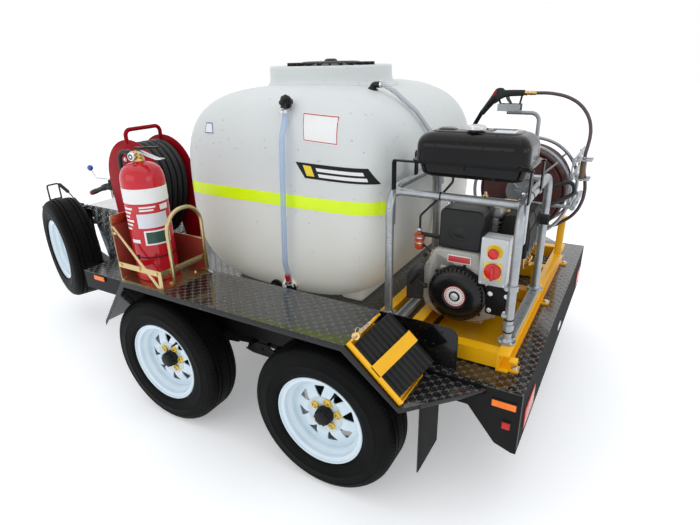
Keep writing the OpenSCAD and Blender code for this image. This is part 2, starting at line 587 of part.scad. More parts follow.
module hose_hanger() placed() color(signal_red) {
  for (y = [hanger_y[0], hanger_y[1] - 4]) difference() {
    upright(y, y + 4) polygon(concat([[hanger_x - hanger_r + 30, deck_z], [hanger_x - hanger_r, hanger_c]],
      [for (i = [1:23]) [hanger_x - hanger_r * cos(180 * i / 24), hanger_c + hanger_r * sin(180 * i / 24)]],
      [[hanger_x + hanger_r, hanger_c], [hanger_x + hanger_r - 30, deck_z]]));
    if (y > hanger_y[0]) upright(y - 1, y + 5) polygon([[hanger_x - 90, deck_z + 60], [hanger_x + 90, deck_z + 60], [hanger_x + 60, deck_z + 190], [hanger_x - 60, deck_z + 190]]);
  }
  // Half-round saddle that carries the hose
  upright(hanger_y[0] + 4, hanger_y[1] - 4) difference() {
    translate([hanger_x, hanger_c]) circle(r = saddle_r, $fn = 96);
    translate([hanger_x, hanger_c]) circle(r = saddle_r - 4, $fn = 96);
    translate([hanger_x - 300, hanger_c - 330]) square([600, 300]);
  }
  // Base bars, and the tube handle over the top
  for (x = [-150, 150]) box([hanger_x + x - 20, hanger_y[0] + 4, deck_z], [hanger_x + x + 20, hanger_y[1] - 4, deck_z + 30]);
  top = hanger_c + hanger_r;
  pipe([[hanger_x - 14, hanger_y[0] + 2, top - 20], [hanger_x - 14, hanger_y[0] + 2, top + 50], [hanger_x - 14, hanger_y[1] - 2, top + 50],
        [hanger_x - 14, hanger_y[1] - 2, top - 20]], 32, 11);
}

// Fill hose hung in long loops: each loop goes over the saddle and hangs below the deck's edge
fill_low = deck_z + 150;
fill_pitch = fill_hose_d + 2;
fill_over = saddle_r + fill_hose_d / 2 + 1;
fill_under = fill_over - 34;
fill_rings = 24;
// A point of the hanging loop after u turns, counted from the bottom
function loop_point(u) =
  let (a = 360 * u - 90, s = sin(a), c = cos(a))
  s >= 0 ? [fill_over * c, hanger_c + fill_over * s]
         : [(fill_over + (fill_under - fill_over) * pow(-s, 2)) * c, hanger_c + (hanger_c - fill_low) * s];
fill_mid = (hanger_y[0] + hanger_y[1]) / 2;
fill_route = [for (i = [5:fill_turns * fill_rings - 5])
  let (u = i / fill_rings, p = loop_point(u)) [hanger_x + p[0], fill_mid + fill_pitch * (u - fill_turns / 2), p[1]]];
fill_gap = min([for (i = [0:fill_rings]) for (j = [i + 12:len(fill_route) - 1]) norm(fill_route[i] - fill_route[j])]) - fill_hose_d;
echo(fill_hose_least_gap = fill_gap);
module fill_hose() placed() color([0.09, 0.09, 0.1]) tube(fill_route, fill_hose_d / 2, 6, [0, 1, 0]);

// Ball valve and nozzle clipped to the front edge of the near plate
valve_c = [-1768, -545, 985];
module hose_valve() placed() color(black) {
  box([hanger_x - hanger_r - 10, -560, 940], [hanger_x - hanger_r + 8, -530, 1045]);
  translate(valve_c) rotate([0, 90, 0]) cylinder(r = 19, h = 56, center = true, $fn = 48);
  translate(valve_c + [-28, 0, 0]) rotate([0, -109, 0]) {
    cylinder(r = 21, h = 42, $fn = 6);
    translate([0, 0, 42]) cylinder(r = 16, h = 120);
    translate([0, 0, 162]) cylinder(r = 11, h = 24);
  }
  translate(valve_c + [0, 0, 19]) cylinder(r = 9, h = 22);
}
module valve_lever() placed() color([0.75, 0.76, 0.78]) {
  p = valve_c + [0, 0, 41.4];
  translate(p) cylinder(r = 14, h = 8);
  tube(bent([p + [-8, 0, 5], p + [-122, 0, 0], p + [-136, -15, 50]], 16), 4.5, 8, [0, 1, 0]);
  color("royalblue") translate(p + [-137, -16, 62]) sphere(r = 17);
}

// ---------------------------------------------------------------- extinguisher
ext_c = [-935, -955];
ext_z = guard_z + 4;
module extinguisher() placed() translate([ext_c.x, ext_c.y, 0]) {
  r = ext_d / 2;
  top = ext_z + ext_h;
  color(signal_red) rotate_extrude($fn = 72) polygon(concat([[0, ext_z + 12], [r - 18, ext_z], [r - 3, ext_z], [r, ext_z + 8]],
    arc([r - 70, top - 75], 70, 0, 78, 8), [[20, top], [0, top]]));
  color([0.8, 0.62, 0.25]) {
    translate([0, 0, top]) cylinder(r = 19, h = 22);
    translate([0, 0, top + 22]) cylinder(r = 15, h = 20);
    rod([0, 0, top + 20], [-46, 0, top + 26], 10);
    rod([0, 0, top + 20], [4, -32, top + 20], 8);
    rod([4, -32, top + 20], [5, -42, top + 20], 19);
  }
  // Carrying handle fixed to the valve
  color(steel_grey) upright(-10, 10) polygon([[-8, top + 42], [22, top + 42], [120, top + 22], [150, top + 26], [150, top + 30], [120, top + 28], [22, top + 52], [-8, top + 52]]);
}
module extinguisher_lever() placed() color([0.12, 0.12, 0.13]) translate([ext_c.x, ext_c.y, ext_z + ext_h]) {
  upright(-10, 10) polygon([[-8, 58], [22, 58], [128, 70], [128, 76], [20, 68], [-8, 68]]);
}
module extinguisher_hose() placed() color([0.1, 0.1, 0.1]) {
  top = ext_z + ext_h;
  tube(bent([[ext_c.x - 46.4, ext_c.y, top + 26.05], [ext_c.x - 125, ext_c.y, top + 36.3], [ext_c.x - 122, ext_c.y - 10, top - 120],
             [ext_c.x - 121, ext_c.y - 14, ext_z + 110]], 46, 6), 12.5, 8, [0, 1, 0]);
}

module extinguisher_bracket() placed() color([0.72, 0.6, 0.28]) {
  x0 = -1040;
  x1 = -762;
  y0 = -1080;
  // Tray, tall left wall, back wall and the strap across the front
  box([x0, y0, guard_z], [x1, -812, guard_z + 4]);
  difference() {
    box([x0, y0, guard_z + 4], [x0 + 3, -812, 1045]);
    translate([x0 - 1, y0 - 1, 1010]) rotate([45, 0, 0]) cube([5, 10, 10]);
  }
  box([x0 + 3, -815, guard_z + 4], [x1, -812, 905]);
  upright(y0, y0 + 4) polygon([[x0, 1000], [x0 + 18, 1000], [x1 - 12, guard_z + 4], [x1 - 34, guard_z + 4]]);
  // Front rail at knee height, with the corner post
  box([x0 + 3, y0, 806], [x1, y0 + 4, 832]);
  box([x1 - 4, y0 + 4, 806], [x1, -815, 832]);
  box([x1 - 24, y0, guard_z + 4], [x1, y0 + 4, 806]);
  // Tube hoop at the rear side
  pipe([[x1 + 8, -1020, guard_z + 20], [x1 + 8, -1020, 1078], [x1 + 8, -824, 1078], [x1 + 8, -824, guard_z + 20]], 90, 9);
}

// ---------------------------------------------------------------- wheel chocks
slope_u = unit([211, 0, -188]);
slope_n = unit([188, 0, 211]);
// Frame of the guard's rear slope on the left side: X down the slope, Z off it
module on_slope() multmatrix([[slope_u.x, 0, slope_n.x, 149], [0, 1, 0, 0], [slope_u.z, 0, slope_n.z, guard_z]]) children();
// An outline drawn across the slope in Y and height, given a length along the slope
module along_slope(x0, x1) translate([x0, 0, 0]) rotate([90, 0, 90]) linear_extrude(x1 - x0) children();
chock_y = [-1079, -904];
chock_h = [20, 106];
chock_ribs = 9;
// Point of the sloping face, t from its thin edge to its thick one, sunk by d
function chock_face(t, d) = [chock_y[0] + (chock_y[1] - chock_y[0]) * t + 0.44 * d, chock_h[0] + (chock_h[1] - chock_h[0]) * t - 0.9 * d];
module wheel_chocks() placed() color([0.13, 0.13, 0.14]) on_slope() {
  for (x = [22, 144]) along_slope(x, x + 116)
    polygon(concat([[chock_y[0], 5.3]],
      [for (i = [0:chock_ribs - 1]) for (q = [[0.06, 0], [0.58, 0], [0.66, 5], [0.94, 5]]) chock_face((i + q[0]) / chock_ribs, q[1])],
      [[chock_y[1], chock_h[1]], [chock_y[1] + 10, chock_h[1] - 6], [chock_y[1] + 10, 5.3]]));
}
module chock_holder() placed() color([0.95, 0.75, 0.05]) on_slope() {
  // Base plate, outer flange, lower lip and the upper retaining bar
  box([2, -1085, 0.1], [280, -889, 5]);
  box([2, -1085, 5], [280, -1081, 28]);
  box([275, -1081, 5], [280, -889, 18]);
  box([2, -1081, 5], [8, -889, 44]);
  rod([5, -1084, 47], [5, -900, 47], 5, 24);
  for (y = [-1085, -905]) box([1, y, 40], [9, y + 8, 60]);
  // Broad strap over the two chocks
  along_slope(117, 165) polygon([[-1085, 20], [-1081, 20], [-1081, 24], [-904, 110], [-891, 102],
    [-893, 4], [-889, 4], [-886, 104], [-902, 114], [-1080, 29], [-1085, 29]]);
}

// ---------------------------------------------------------------- pump skid
skid_x = [60, 640];
skid_y = [-735, 600];
skid_top = deck_z + skid_h;
// Channel with its open side shown as a recess, lying along Y
module channel_y(x, y0, y1, w, open_side) difference() {
  box([x, y0, deck_z], [x + w, y1, skid_top]);
  box([open_side > 0 ? x + 8 : x - 1, y0 - 1, deck_z + 8], [open_side > 0 ? x + w + 1 : x + w - 8, y1 + 1, skid_top - 8]);
}
module skid_frame() placed() color(signal_yellow) {
  channel_y(skid_x[0], skid_y[0], skid_y[1], 45, -1);
  channel_y(skid_x[1] - 45, skid_y[0], skid_y[1], 45, 1);
  channel_y(215, skid_y[0] + 20, 240, 45, 1);
  for (y = [skid_y[0] + 8, -120, 200, skid_y[1] - 58])
    box([skid_x[0] + 45, y, deck_z + 6], [skid_x[1] - 45, y + 50, skid_top - 6]);
  // Drip tray under the engine
  box([290, -680, deck_z + 6], [595, -130, deck_z + 10]);
  // Posts behind the pump, and bolted lugs
  box([575, -65.4, skid_top], [605, -30, 745]);
  box([605, 430, skid_top], [640, 470, 846]);
  for (y = [-700, -71, 480]) box([skid_x[1], y - 22, deck_z], [skid_x[1] + 34, y + 22, deck_z + 8]);
  rod([640, -712, 612], [668, -712, 612], 15);
}

module strut(x, y0, y1) difference() {
  box([x, y0, skid_top], [x + 41, y1, skid_top + 21]);
  box([x + 9, y0 - 1, skid_top + 4], [x + 32, y1 + 1, skid_top + 22]);
}
module galvanised_brackets() placed() color([0.75, 0.77, 0.79]) {
  strut(590, -605.6, -134.4);
  strut(300, -545, 60);
  strut(440, -545, 25);
  strut(150, -725, 240);
  // Foot clamps of the tank, with their bolts
  for (x = [tank_c.x - 470, tank_c.x - 60, tank_c.x + 470]) for (s = [-1, 1]) {
    box([x - 45, s * 628 - 45, deck_z], [x + 45, s * 628 + 45, deck_z + 5]);
    upright(s * 628 - 2.5, s * 628 + 2.5) polygon([[x - 40, deck_z + 5], [x + 40, deck_z + 5], [x + 18, deck_z + 62], [x - 18, deck_z + 62]]);
    translate([x, s * 628 + s * 24, deck_z + 5]) bolt(10, 9);
  }
  // Bolt heads on the skid's lugs
  for (y = [-700, -71, 480]) translate([skid_x[1] + 19, y, deck_z + 8]) bolt(9, 8);
}

reel_c = [456, 1053];
reel_y = [84, 316];
cage_x = [106, 606];
cage_y = [-640, -100];
reel_stand = [56, 344];
module cage() placed() color([0.72, 0.75, 0.76]) {
  r = cage_d / 2;
  for (x = cage_x) {
    pipe([[x, cage_y[0], skid_top + 8], [x, cage_y[0], cage_z], [x, cage_y[1], cage_z], [x, cage_y[1], skid_top + 8]], 90, r);
    for (y = cage_y) translate([x, y, skid_top]) cylinder(r = 34, h = 8);
  }
  rod([cage_x[0], cage_y[0] + 40, cage_z - 15], [cage_x[1], cage_y[0] + 40, cage_z - 15], r - 2);
  rod([cage_x[0], cage_y[1] - 110, cage_z], [cage_x[1], cage_y[1] - 110, cage_z], r - 3);
  // Clamp bands on the rear leg
  for (z = [700, 860]) translate([cage_x[1], cage_y[0], z]) cylinder(r = r + 4, h = 22);
  // Stand of the hose reel: two posts with bosses, the axle and a cross tube
  for (y = reel_stand) {
    rod([reel_c[0], y, skid_top + 8], [reel_c[0], y, reel_c[1]], 13);
    translate([reel_c[0], y, skid_top]) cylinder(r = 30, h = 8);
    rod([reel_c[0], y - 13, reel_c[1]], [reel_c[0], y + 13, reel_c[1]], 26);
    rod([reel_c[0], y, 1010], [698, y, 1010], 9);
  }
  rod([reel_c[0], reel_stand[0] - 22, reel_c[1]], [reel_c[0], reel_stand[1] + 22, reel_c[1]], 14.95, 64);
  rod([698, reel_stand[0] - 16, 1010], [698, reel_stand[1] + 16, 1010], 12);
  // Swivel block where the jumper hose meets the reel's axle
  box([reel_c[0] - 18, 10, reel_c[1] - 18], [reel_c[0] + 18, 34, reel_c[1] + 18]);
  // Holder of the gun above the reel
  pipe([[reel_c[0], reel_stand[1], reel_c[1]], [reel_c[0], reel_stand[1], 1390], [296, reel_stand[1], 1390]], 40, 10);
  box([286, 322, 1396], [350, 350, 1404]);
  box([262, 272, 1401], [372, 328, 1404.5]);
  for (y = [272, 325]) box([262, y, 1404.5], [372, y + 3, 1436]);
  // Flat bars that carry the fuel tank by its seam, and their legs
  for (y = [-624, -401]) {
    box([112, y - 9, 1296], [628, y + 9, 1301]);
    for (x = [112, 620]) box([x, y - 15, y < -500 ? 1040 : 1175], [x + 5, y + 15, 1296]);
  }
}

// Rounded box from a stack of rounded rectangles, each given as height, length, width and corner
module lofted(levels) hull() for (v = levels) translate([0, 0, v[0]]) linear_extrude(0.5) rrect(v[1], v[2], v[3]);

module fuel_tank() placed() translate([400, -512, 0]) {
  color([0.05, 0.05, 0.06]) {
    lofted([[1306.5, 416, 236, 45], [1360, 410, 232, 50], [1394, 384, 212, 50], [1410, 320, 160, 40]]);
    lofted([[1300.8, 400, 198, 45], [1270, 392, 190, 45], [1243, 350, 160, 40]]);
    translate([0, 0, 1301]) linear_extrude(6) rrect(440, 238, 40);
  }
  // Filler neck and the two mounting pads on the top
  color([0.05, 0.05, 0.06]) translate([1, -40, 1405]) cylinder(r = 27, h = 12);
  color([0.2, 0.2, 0.2]) translate([-110, -20, 1409]) linear_extrude(5) rrect(62, 40, 8);
}
module fuel_cap() placed() color([0.78, 0.79, 0.8]) translate([401, -552, 0]) {
  translate([0, 0, 1417.3]) cylinder(r = 34, h = 10, $fn = 64);
  translate([0, 0, 1427.3]) cylinder(r = 29, h = 6, $fn = 64);
  for (i = [0:15]) rotate([0, 0, i * 22.5]) translate([34, 0, 1418]) cylinder(r = 2.6, h = 8.6, $fn = 16);
}

// ---------------------------------------------------------------- engine
crank_x = 382;
module engine() placed() color([0.5, 0.5, 0.49]) {
  base = skid_top + 21;
  // Crankcase with its feet
  difference() {
    upright(-545, -200) polygon([[250, base], [515, base], [515, 700], [545, 740], [545, 860], [500, 920], [260, 920], [228, 860], [228, 720], [250, 700]]);
    upright(-546, -199) polygon([[300, base - 1], [465, base - 1], [450, base + 14], [315, base + 14]]);
  }
  // Finned cylinder and head
  for (i = [0:6]) box([266, -392, 930 + i * 17], [490, -222, 936 + i * 17]);
  box([290, -384, 919], [478, -232, 1046]);
  upright(-380, -236) polygon([[285, 1046], [490, 1046], [470, 1092], [310, 1092]]);
  // Fan shroud behind the starter
  difference() {
    upright(-575, -545) polygon(concat(arc([crank_x, crank_z], 148, 215, 325, 14), [[545, 745], [545, 846], [468, 846], [468, 940], [452, 955], [288, 955], [232, 850], [232, 720]]));
    translate([crank_x, -580, crank_z]) rotate([-90, 0, 0]) cylinder(r = 96, h = 30);
  }
  // Oil filler, injector pump and power take-off flange
  translate([262, -440, 860]) rotate([0, -60, 0]) cylinder(r = 16, h = 50);
  box([510, -420, 800], [560, -350, 870]);
  rod([crank_x, -200, crank_z], [crank_x, -184, crank_z], 88, 64);
  // Black splash plate and fuel filter bracket at the engine's front
  upright(-552, -548) polygon([[150, 690], [232, 700], [232, 850], [196, 850], [150, 800]]);
  color([0.85, 0.25, 0.1]) translate([188, -520, 915]) cylinder(r = 21, h = 56);
  color([0.2, 0.2, 0.2]) translate([188, -520, 971]) cylinder(r = 24, h = 22);
  color([0.2, 0.2, 0.2]) box([188, -528, 975], [289.2, -512, 990]);
}

module recoil_starter() placed() color(black) translate([crank_x, -575, crank_z]) rotate([90, 0, 0]) {
  r = starter_d / 2;
  difference() {
    rotate_extrude($fn = 96) polygon([[0, 0], [r, 0], [r, 20], [r - 6, 34], [r - 22, 42], [48, 46], [46, 43], [24, 43], [22, 48], [0, 48]]);
    for (i = [0:35]) rotate([0, 0, i * 10]) translate([r - 11, 0, 28]) cylinder(r = 4.2, h = 30, $fn = 16);
    translate([0, 0, -1]) cylinder(r = r - 8, h = 21, $fn = 96);
  }
}
module starter_handle() placed() color(black) {
  translate([206, -604, 822]) rotate([0, 35, 0]) box([-11, -12, -40], [11, 12, 40]);
  rod([214, -604, 816], [262, -604, 784.5], 6);
}

module air_cleaner() placed() color([0.1, 0.1, 0.11]) {
  // Box with its cover and badge recess, standing on the shroud
  difference() {
    upright(-566, -400) polygon(concat(arc([306, 1100], 18, 90, 180, 5), [[290, 956], [452, 956]], arc([444, 1100], 18, 0, 90, 5)));
    translate([372, -567, 1020]) rotate([-90, 0, 0]) cylinder(r = 34, h = 5, $fn = 48);
  }
  translate([372, -566, 1020]) rotate([-90, 0, 0]) cylinder(r = 22, h = 4, $fn = 48);
  rod([372, -400, 1065], [372, -380.3, 1065], 18);
}

module muffler() placed() color([0.12, 0.12, 0.12]) {
  // Heat-shielded silencer and its tailpipe
  upright(-430, -190) polygon(concat([[562, 905], [604, 905]], arc([574, 1050], 30, 0, 90, 5), arc([524, 1050], 30, 90, 180, 5), [[494, 960], [548, 940]]));
  rod([604, -235, 1024], [644, -235, 1024], 22);
  rod([604, -235, 1024], [612, -235, 1024], 30);
}

panel_y = -615;
module control_box() placed() {
  difference() {
    union() {
      color([0.72, 0.73, 0.73]) upright(panel_y, -545.3) translate([526, 946]) rrect(100, 186, 6);
      // Yellow legend plates: round for the stop button, square for the isolator
      color([0.96, 0.85, 0.1]) {
        rod([523, panel_y, 988], [523, panel_y - 2, 988], 31, 64);
        upright(panel_y - 2, panel_y) translate([523, 912]) rrect(66, 66, 5);
      }
    }
    rod([523, panel_y - 3, 988], [523, panel_y + 20, 988], 9.05, 48);
  }
  // Bracket plate to the cage leg, with its bolts
  color([0.15, 0.15, 0.16]) {
    upright(-608, -603) polygon([[505, 728], [598, 728], [598, 826], [570, 853], [505, 853]]);
    for (p = [[520, 745], [582, 745], [520, 815], [582, 815]]) rod([p[0], -608, p[1]], [p[0], -614, p[1]], 7, 6);
  }
}
module stop_button() placed() color(signal_red) translate([523, panel_y - 2, 988]) rotate([90, 0, 0]) {
  translate([0, 0, -14]) cylinder(r = 9, h = 27);
  rotate_extrude() polygon([[0, 12], [17, 12], [20, 16], [20, 22], [14, 28], [0, 30]]);
}
module isolator_knob() placed() color(signal_red) translate([523, panel_y - 2, 912]) rotate([90, 0, 0]) {
  translate([0, 0, 0.4]) cylinder(r = 32, h = 10);
  translate([0, 0, 10]) box([-7, -34, 0], [7, 24, 18]);
}

// ---------------------------------------------------------------- pump, reel and hoses
module pressure_pump() placed() {
  // Reduction gearbox on the engine's flange, crankcase, head with its valve caps
  color([0.55, 0.56, 0.57]) {
    upright(-184, -130) translate([crank_x, crank_z]) circle(r = 88, $fn = 64);
    upright(-130, 35) polygon([[300, 684], [470, 684], [490, 720], [490, 850], [300, 850], [285, 800], [285, 720]]);
    box([320, -120, 664], [450, 25, 684]);
    for (i = [0:4]) box([282 + i * 44, -100, 850], [288 + i * 44, 10, 858]);
  }
  color([0.78, 0.65, 0.35]) {
    box([490, -112, 730], [548, 18, 842]);
    for (y = [-88, -47, -6]) for (z = [758, 814]) rod([548, y, z], [562, y, z], 15, 6);
    translate([520, -47, 842]) cylinder(r = 16, h = 60);
    translate([520, -47, 902]) cylinder(r = 24, h = 42);
    rod([520, -71, 870], [520, -100, 870], 10);
    rod([520, -47, 944], [520, -47, 962], 8);
    rod([519, 18, 790], [519, 60, 790], 13);
  }
}

module service_hoses() placed() color([0.1, 0.1, 0.1]) {
  // Suction hose from the pump to the tank's side, jumper hose to the reel, and the fuel line
  tube(bent([[519, 60.3, 790], [519, 110, 790], [500, 130, 720], [200, 130, 712], [112, 90, 700], [100, -10, 700]], 36), 13, 8, [0, 0, 1]);
  tube(bent([[520, -47, 962.3], [520, -47, 1000], [600, 0, 1020], [700, 30, 1080], [690, 22, 1140], [570, 22, 1090], [520, 22, 1053], [474.3, 22, 1053]], 24), 9, 8, [1, 0, 0]);
  tube(bent([[188, -520, 993.3], [188, -520, 1060], [240, -480, 1120], [300, -470, 1200], [300, -470, 1242.7]], 24), 5, 8, [1, 0, 0]);
}

core_r = reel_wound_d / 2 - reel_hose_d - 1.5;
module reel_drum() placed() color([0.7, 0.72, 0.73]) translate([reel_c[0], 0, reel_c[1]]) rotate([-90, 0, 0]) {
  // Hub tube, core and ring flanges with four spokes
  difference() {
    union() {
      translate([0, 0, reel_y[0] - 12]) cylinder(r = 24, h = reel_y[1] - reel_y[0] + 24);
      translate([0, 0, reel_y[0]]) cylinder(r = 70, h = reel_y[1] - reel_y[0]);
    }
    translate([0, 0, 0]) cylinder(r = 15, h = 400);
  }
  for (z = reel_y) {
    translate([0, 0, z]) rotate_extrude($fn = 96) translate([222, 0]) circle(r = 8, $fn = 24);
    for (i = [0:3]) rotate([0, 0, 45 + i * 90]) translate([20, 0, z]) rotate([0, 90, 0]) cylinder(r = 5, h = 198);
  }
}

wound_r = reel_wound_d / 2 - reel_hose_d / 2;
wound_pitch = reel_hose_d + 1.2;
wound_rings = 24;
wound_y0 = (reel_y[0] + reel_y[1]) / 2 - wound_pitch * reel_turns / 2;
wound_route = [for (i = [0:reel_turns * wound_rings])
  let (a = 360 * i / wound_rings) [reel_c[0] + wound_r * sin(a), wound_y0 + wound_pitch * i / wound_rings, reel_c[1] - wound_r * cos(a)]];
wound_gap = min([for (i = [0:wound_rings]) for (j = [i + 12:len(wound_route) - 1]) norm(wound_route[i] - wound_route[j])]) - reel_hose_d;
echo(reel_hose_least_gap = wound_gap);
module reel_hose() placed() color([0.26, 0.12, 0.11]) {
  // Inner layers as a plain core, and the outer layer as one tube
  translate([reel_c[0], 0, reel_c[1]]) rotate([-90, 0, 0]) difference() {
    translate([0, 0, reel_y[0] + 9]) cylinder(r = core_r, h = reel_y[1] - reel_y[0] - 18, $fn = 96);
    translate([0, 0, reel_y[0] + 8]) cylinder(r = 70, h = 220, $fn = 96);
  }
  tube(wound_route, reel_hose_d / 2, 6, [0, 1, 0]);
}

// Free stretch of the high-pressure hose: from the reel's underside, out and up through
// the guide's rollers, over in an arch and down to the gun's inlet
tail_route = [[470, 200, 838], [510, 200, 840], [560, 199, 850], [610, 197, 870], [660, 195, 905], [700, 190, 950], [722, 186, 1005],
  [728, 183, 1060], [722, 181, 1110], [712, 180, 1150], [706, 181, 1190], [706, 185, 1230], [710, 194, 1270], [712, 206, 1310],
  [706, 222, 1350], [692, 240, 1385], [670, 256, 1416], [642, 270, 1442], [608, 281, 1462], [570, 289, 1476], [530, 295, 1484],
  [490, 299, 1488], [450, 300, 1488], [410, 300, 1487], [383, 300, 1487]];
module reel_hose_tail() placed() color([0.26, 0.12, 0.11]) tube(tail_route, reel_hose_d / 2 - 1, 8, [0, 1, 0]);

module hose_guide() placed() color([0.75, 0.77, 0.78]) {
  // Two flat rails along the reel's width, end brackets down to the cage, and the roller carriage
  for (z = [1128, 1196]) box([674, 62, z], [680, 430, z + 34]);
  for (y = [65.4, 324.6]) {
    box([668, y, 1004], [674, y + 10, 1230]);
    box([674, y, 1004], [685.7, y + 10, 1016]);
  }
  for (z = [1118, 1206]) difference() {
    box([680, 140, z], [742, 222, z + 6]);
    for (y = [158, 204]) translate([706, y, z - 1]) cylinder(r = 6.05, h = 8);
    box([696, 168, z - 1], [743, 194, z + 7]);
  }
  rod([706, 204, 1112], [706, 204, 1218], 6);
  rod([706, 204, 1124.4], [706, 204, 1205.6], 12);
}
module guide_roller() placed() color([0.5, 0.38, 0.2]) translate([706, 158, 0]) {
  translate([0, 0, 1112]) cylinder(r = 6, h = 106);
  translate([0, 0, 1124.4]) cylinder(r = 12, h = 81.2);
}

// Gun with its lance, lying in its holder above the reel: inlet at the rear, muzzle at the front
module spray_gun() placed() {
  // Body and grip in profile, hollow where the trigger turns, with the trigger's pin
  color(black) difference() {
    upright(286, 314) polygon([[383, 1500], [383, 1474], [330, 1468], [262, 1462], [240, 1452], [228, 1440], [212, 1448], [222, 1470], [244, 1492], [330, 1500]]);
    upright(293, 307) polygon([[272, 1440], [272, 1488], [336, 1488], [336, 1440]]);
  }
  rod([300, 288, 1476], [300, 312, 1476], 3.95);
  color([0.2, 0.2, 0.2]) tube(bent([[226, 300, 1450], [180, 300, 1392], [147, 300, 1330], [124, 300, 1273.5]], 30), 12, 8, [0, 1, 0]);
  color([0.78, 0.7, 0.45]) rod([124.4, 300, 1274.5], [114, 300, 1248.5], 8);
  // Guard loop round the trigger
  color(black) tube(bent([[372, 300, 1480], [360, 300, 1412], [280, 300, 1412], [256, 300, 1468]], 14), 5, 8, [0, 1, 0]);
}
module gun_trigger() placed() color([0.35, 0.35, 0.36]) difference() {
  upright(294, 306) polygon([[292, 1484], [308, 1484], [312, 1462], [326, 1440], [318, 1434], [300, 1452], [292, 1470]]);
  translate([300, 290, 1476]) rotate([-90, 0, 0]) cylinder(r = 4, h = 20);
}

chassis_frame();
deck_plate();
mudguards();
marker_lamps();
running_gear();
coupling();
coupling_latch();
brake_lever();
jockey_tube();
jockey_leg();
jockey_wheel();
jockey_crank();
toolbox();
toolbox_lid();
water_tank();
tank_lid();
clear_hoses();
tank_fittings();
hose_hanger();
fill_hose();
hose_valve();
valve_lever();
extinguisher();
extinguisher_lever();
extinguisher_hose();
extinguisher_bracket();
wheel_chocks();
chock_holder();
skid_frame();
galvanised_brackets();
cage();
fuel_tank();
fuel_cap();
engine();
recoil_starter();
starter_handle();
air_cleaner();
muffler();
control_box();
stop_button();
isolator_knob();
pressure_pump();
service_hoses();
reel_drum();
reel_hose();
reel_hose_tail();
hose_guide();
guide_roller();
spray_gun();
gun_trigger();
tyre_front_left();
tyre_front_right();
tyre_rear_left();
tyre_rear_right();
rim_front_left();
rim_front_right();
rim_rear_left();
rim_rear_right();
spare_tyre();
spare_rim();
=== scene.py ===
import math

import bpy
from mathutils import Matrix, Vector


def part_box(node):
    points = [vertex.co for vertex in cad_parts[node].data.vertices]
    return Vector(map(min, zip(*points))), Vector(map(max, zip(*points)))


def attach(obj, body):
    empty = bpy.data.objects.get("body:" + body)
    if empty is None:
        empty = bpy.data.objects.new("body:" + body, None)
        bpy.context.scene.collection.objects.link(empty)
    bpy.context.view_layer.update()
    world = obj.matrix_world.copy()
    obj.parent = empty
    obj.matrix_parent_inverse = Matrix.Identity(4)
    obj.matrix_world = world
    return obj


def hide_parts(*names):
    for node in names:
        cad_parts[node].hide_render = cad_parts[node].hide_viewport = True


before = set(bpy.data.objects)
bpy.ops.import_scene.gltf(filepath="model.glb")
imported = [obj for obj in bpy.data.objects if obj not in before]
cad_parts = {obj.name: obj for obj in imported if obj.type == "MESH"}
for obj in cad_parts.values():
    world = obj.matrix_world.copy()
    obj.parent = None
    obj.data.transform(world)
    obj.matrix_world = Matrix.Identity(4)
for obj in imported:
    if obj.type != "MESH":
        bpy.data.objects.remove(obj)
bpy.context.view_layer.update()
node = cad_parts

# ---- Studio: camera, pale floor and soft light ----
# The trailer stands on a plain white studio floor under one broad overhead softbox,
# with a weaker panel at each side. None of it belongs to the machine.


def spun(degrees, axis):
    return Matrix.Rotation(math.radians(degrees), 4, axis)


camera_data = bpy.data.cameras.new("camera")
camera_data.lens = 25.804
camera_data.sensor_width = 36
camera_data.shift_x = 0.00454
camera_data.shift_y = 0.00596
camera = bpy.data.objects.new("camera", camera_data)
bpy.context.scene.collection.objects.link(camera)
camera.matrix_world = (Matrix.Translation((2.3361, -2.3815, 1.6617))
                       @ spun(30.46, "Z") @ spun(67.44, "X") @ spun(-1.25, "Z"))
bpy.context.scene.camera = camera
bpy.context.scene.view_settings.view_transform = "Standard"


def feed(made, inputs):
    """Sets a node's inputs: a value is stored, and another node's output is joined on"""
    for socket, value in inputs.items():
        if isinstance(value, bpy.types.NodeSocket):
            made.id_data.links.new(value, made.inputs[socket])
        else:
            made.inputs[socket].default_value = value


def add_node(tree, kind, inputs=None, **settings):
    """Adds a shader node with its settings and its inputs"""
    made = tree.nodes.new("ShaderNode" + kind)
    for setting, value in settings.items():
        setattr(made, setting, value)
    feed(made, inputs or {})
    return made


def ramp(tree, value, low, high, to_low, to_high):
    """Carries a value over from one range to another"""
    made = add_node(tree, "MapRange", {"From Min": low, "From Max": high, "To Min": to_low,
                                       "To Max": to_high})
    feed(made, {"Value": value})
    return made.outputs[0]


def shader_of(mat):
    return mat.node_tree.nodes["Principled BSDF"]


bpy.ops.object.select_all(action="DESELECT")
bpy.ops.mesh.primitive_plane_add(size=60, location=(0, 0, -0.001))
floor = bpy.context.object
floor.name = "studio_floor"
floor_finish = bpy.data.materials.new("studio_floor_paint")
floor_finish.use_nodes = True
feed(shader_of(floor_finish), {"Base Color": (0.93, 0.935, 0.94, 1), "Roughness": 0.9,
                               "Specular IOR Level": 0.1,
                               "Emission Color": (1, 1, 1, 1), "Emission Strength": 0.27})
floor.data.materials.append(floor_finish)

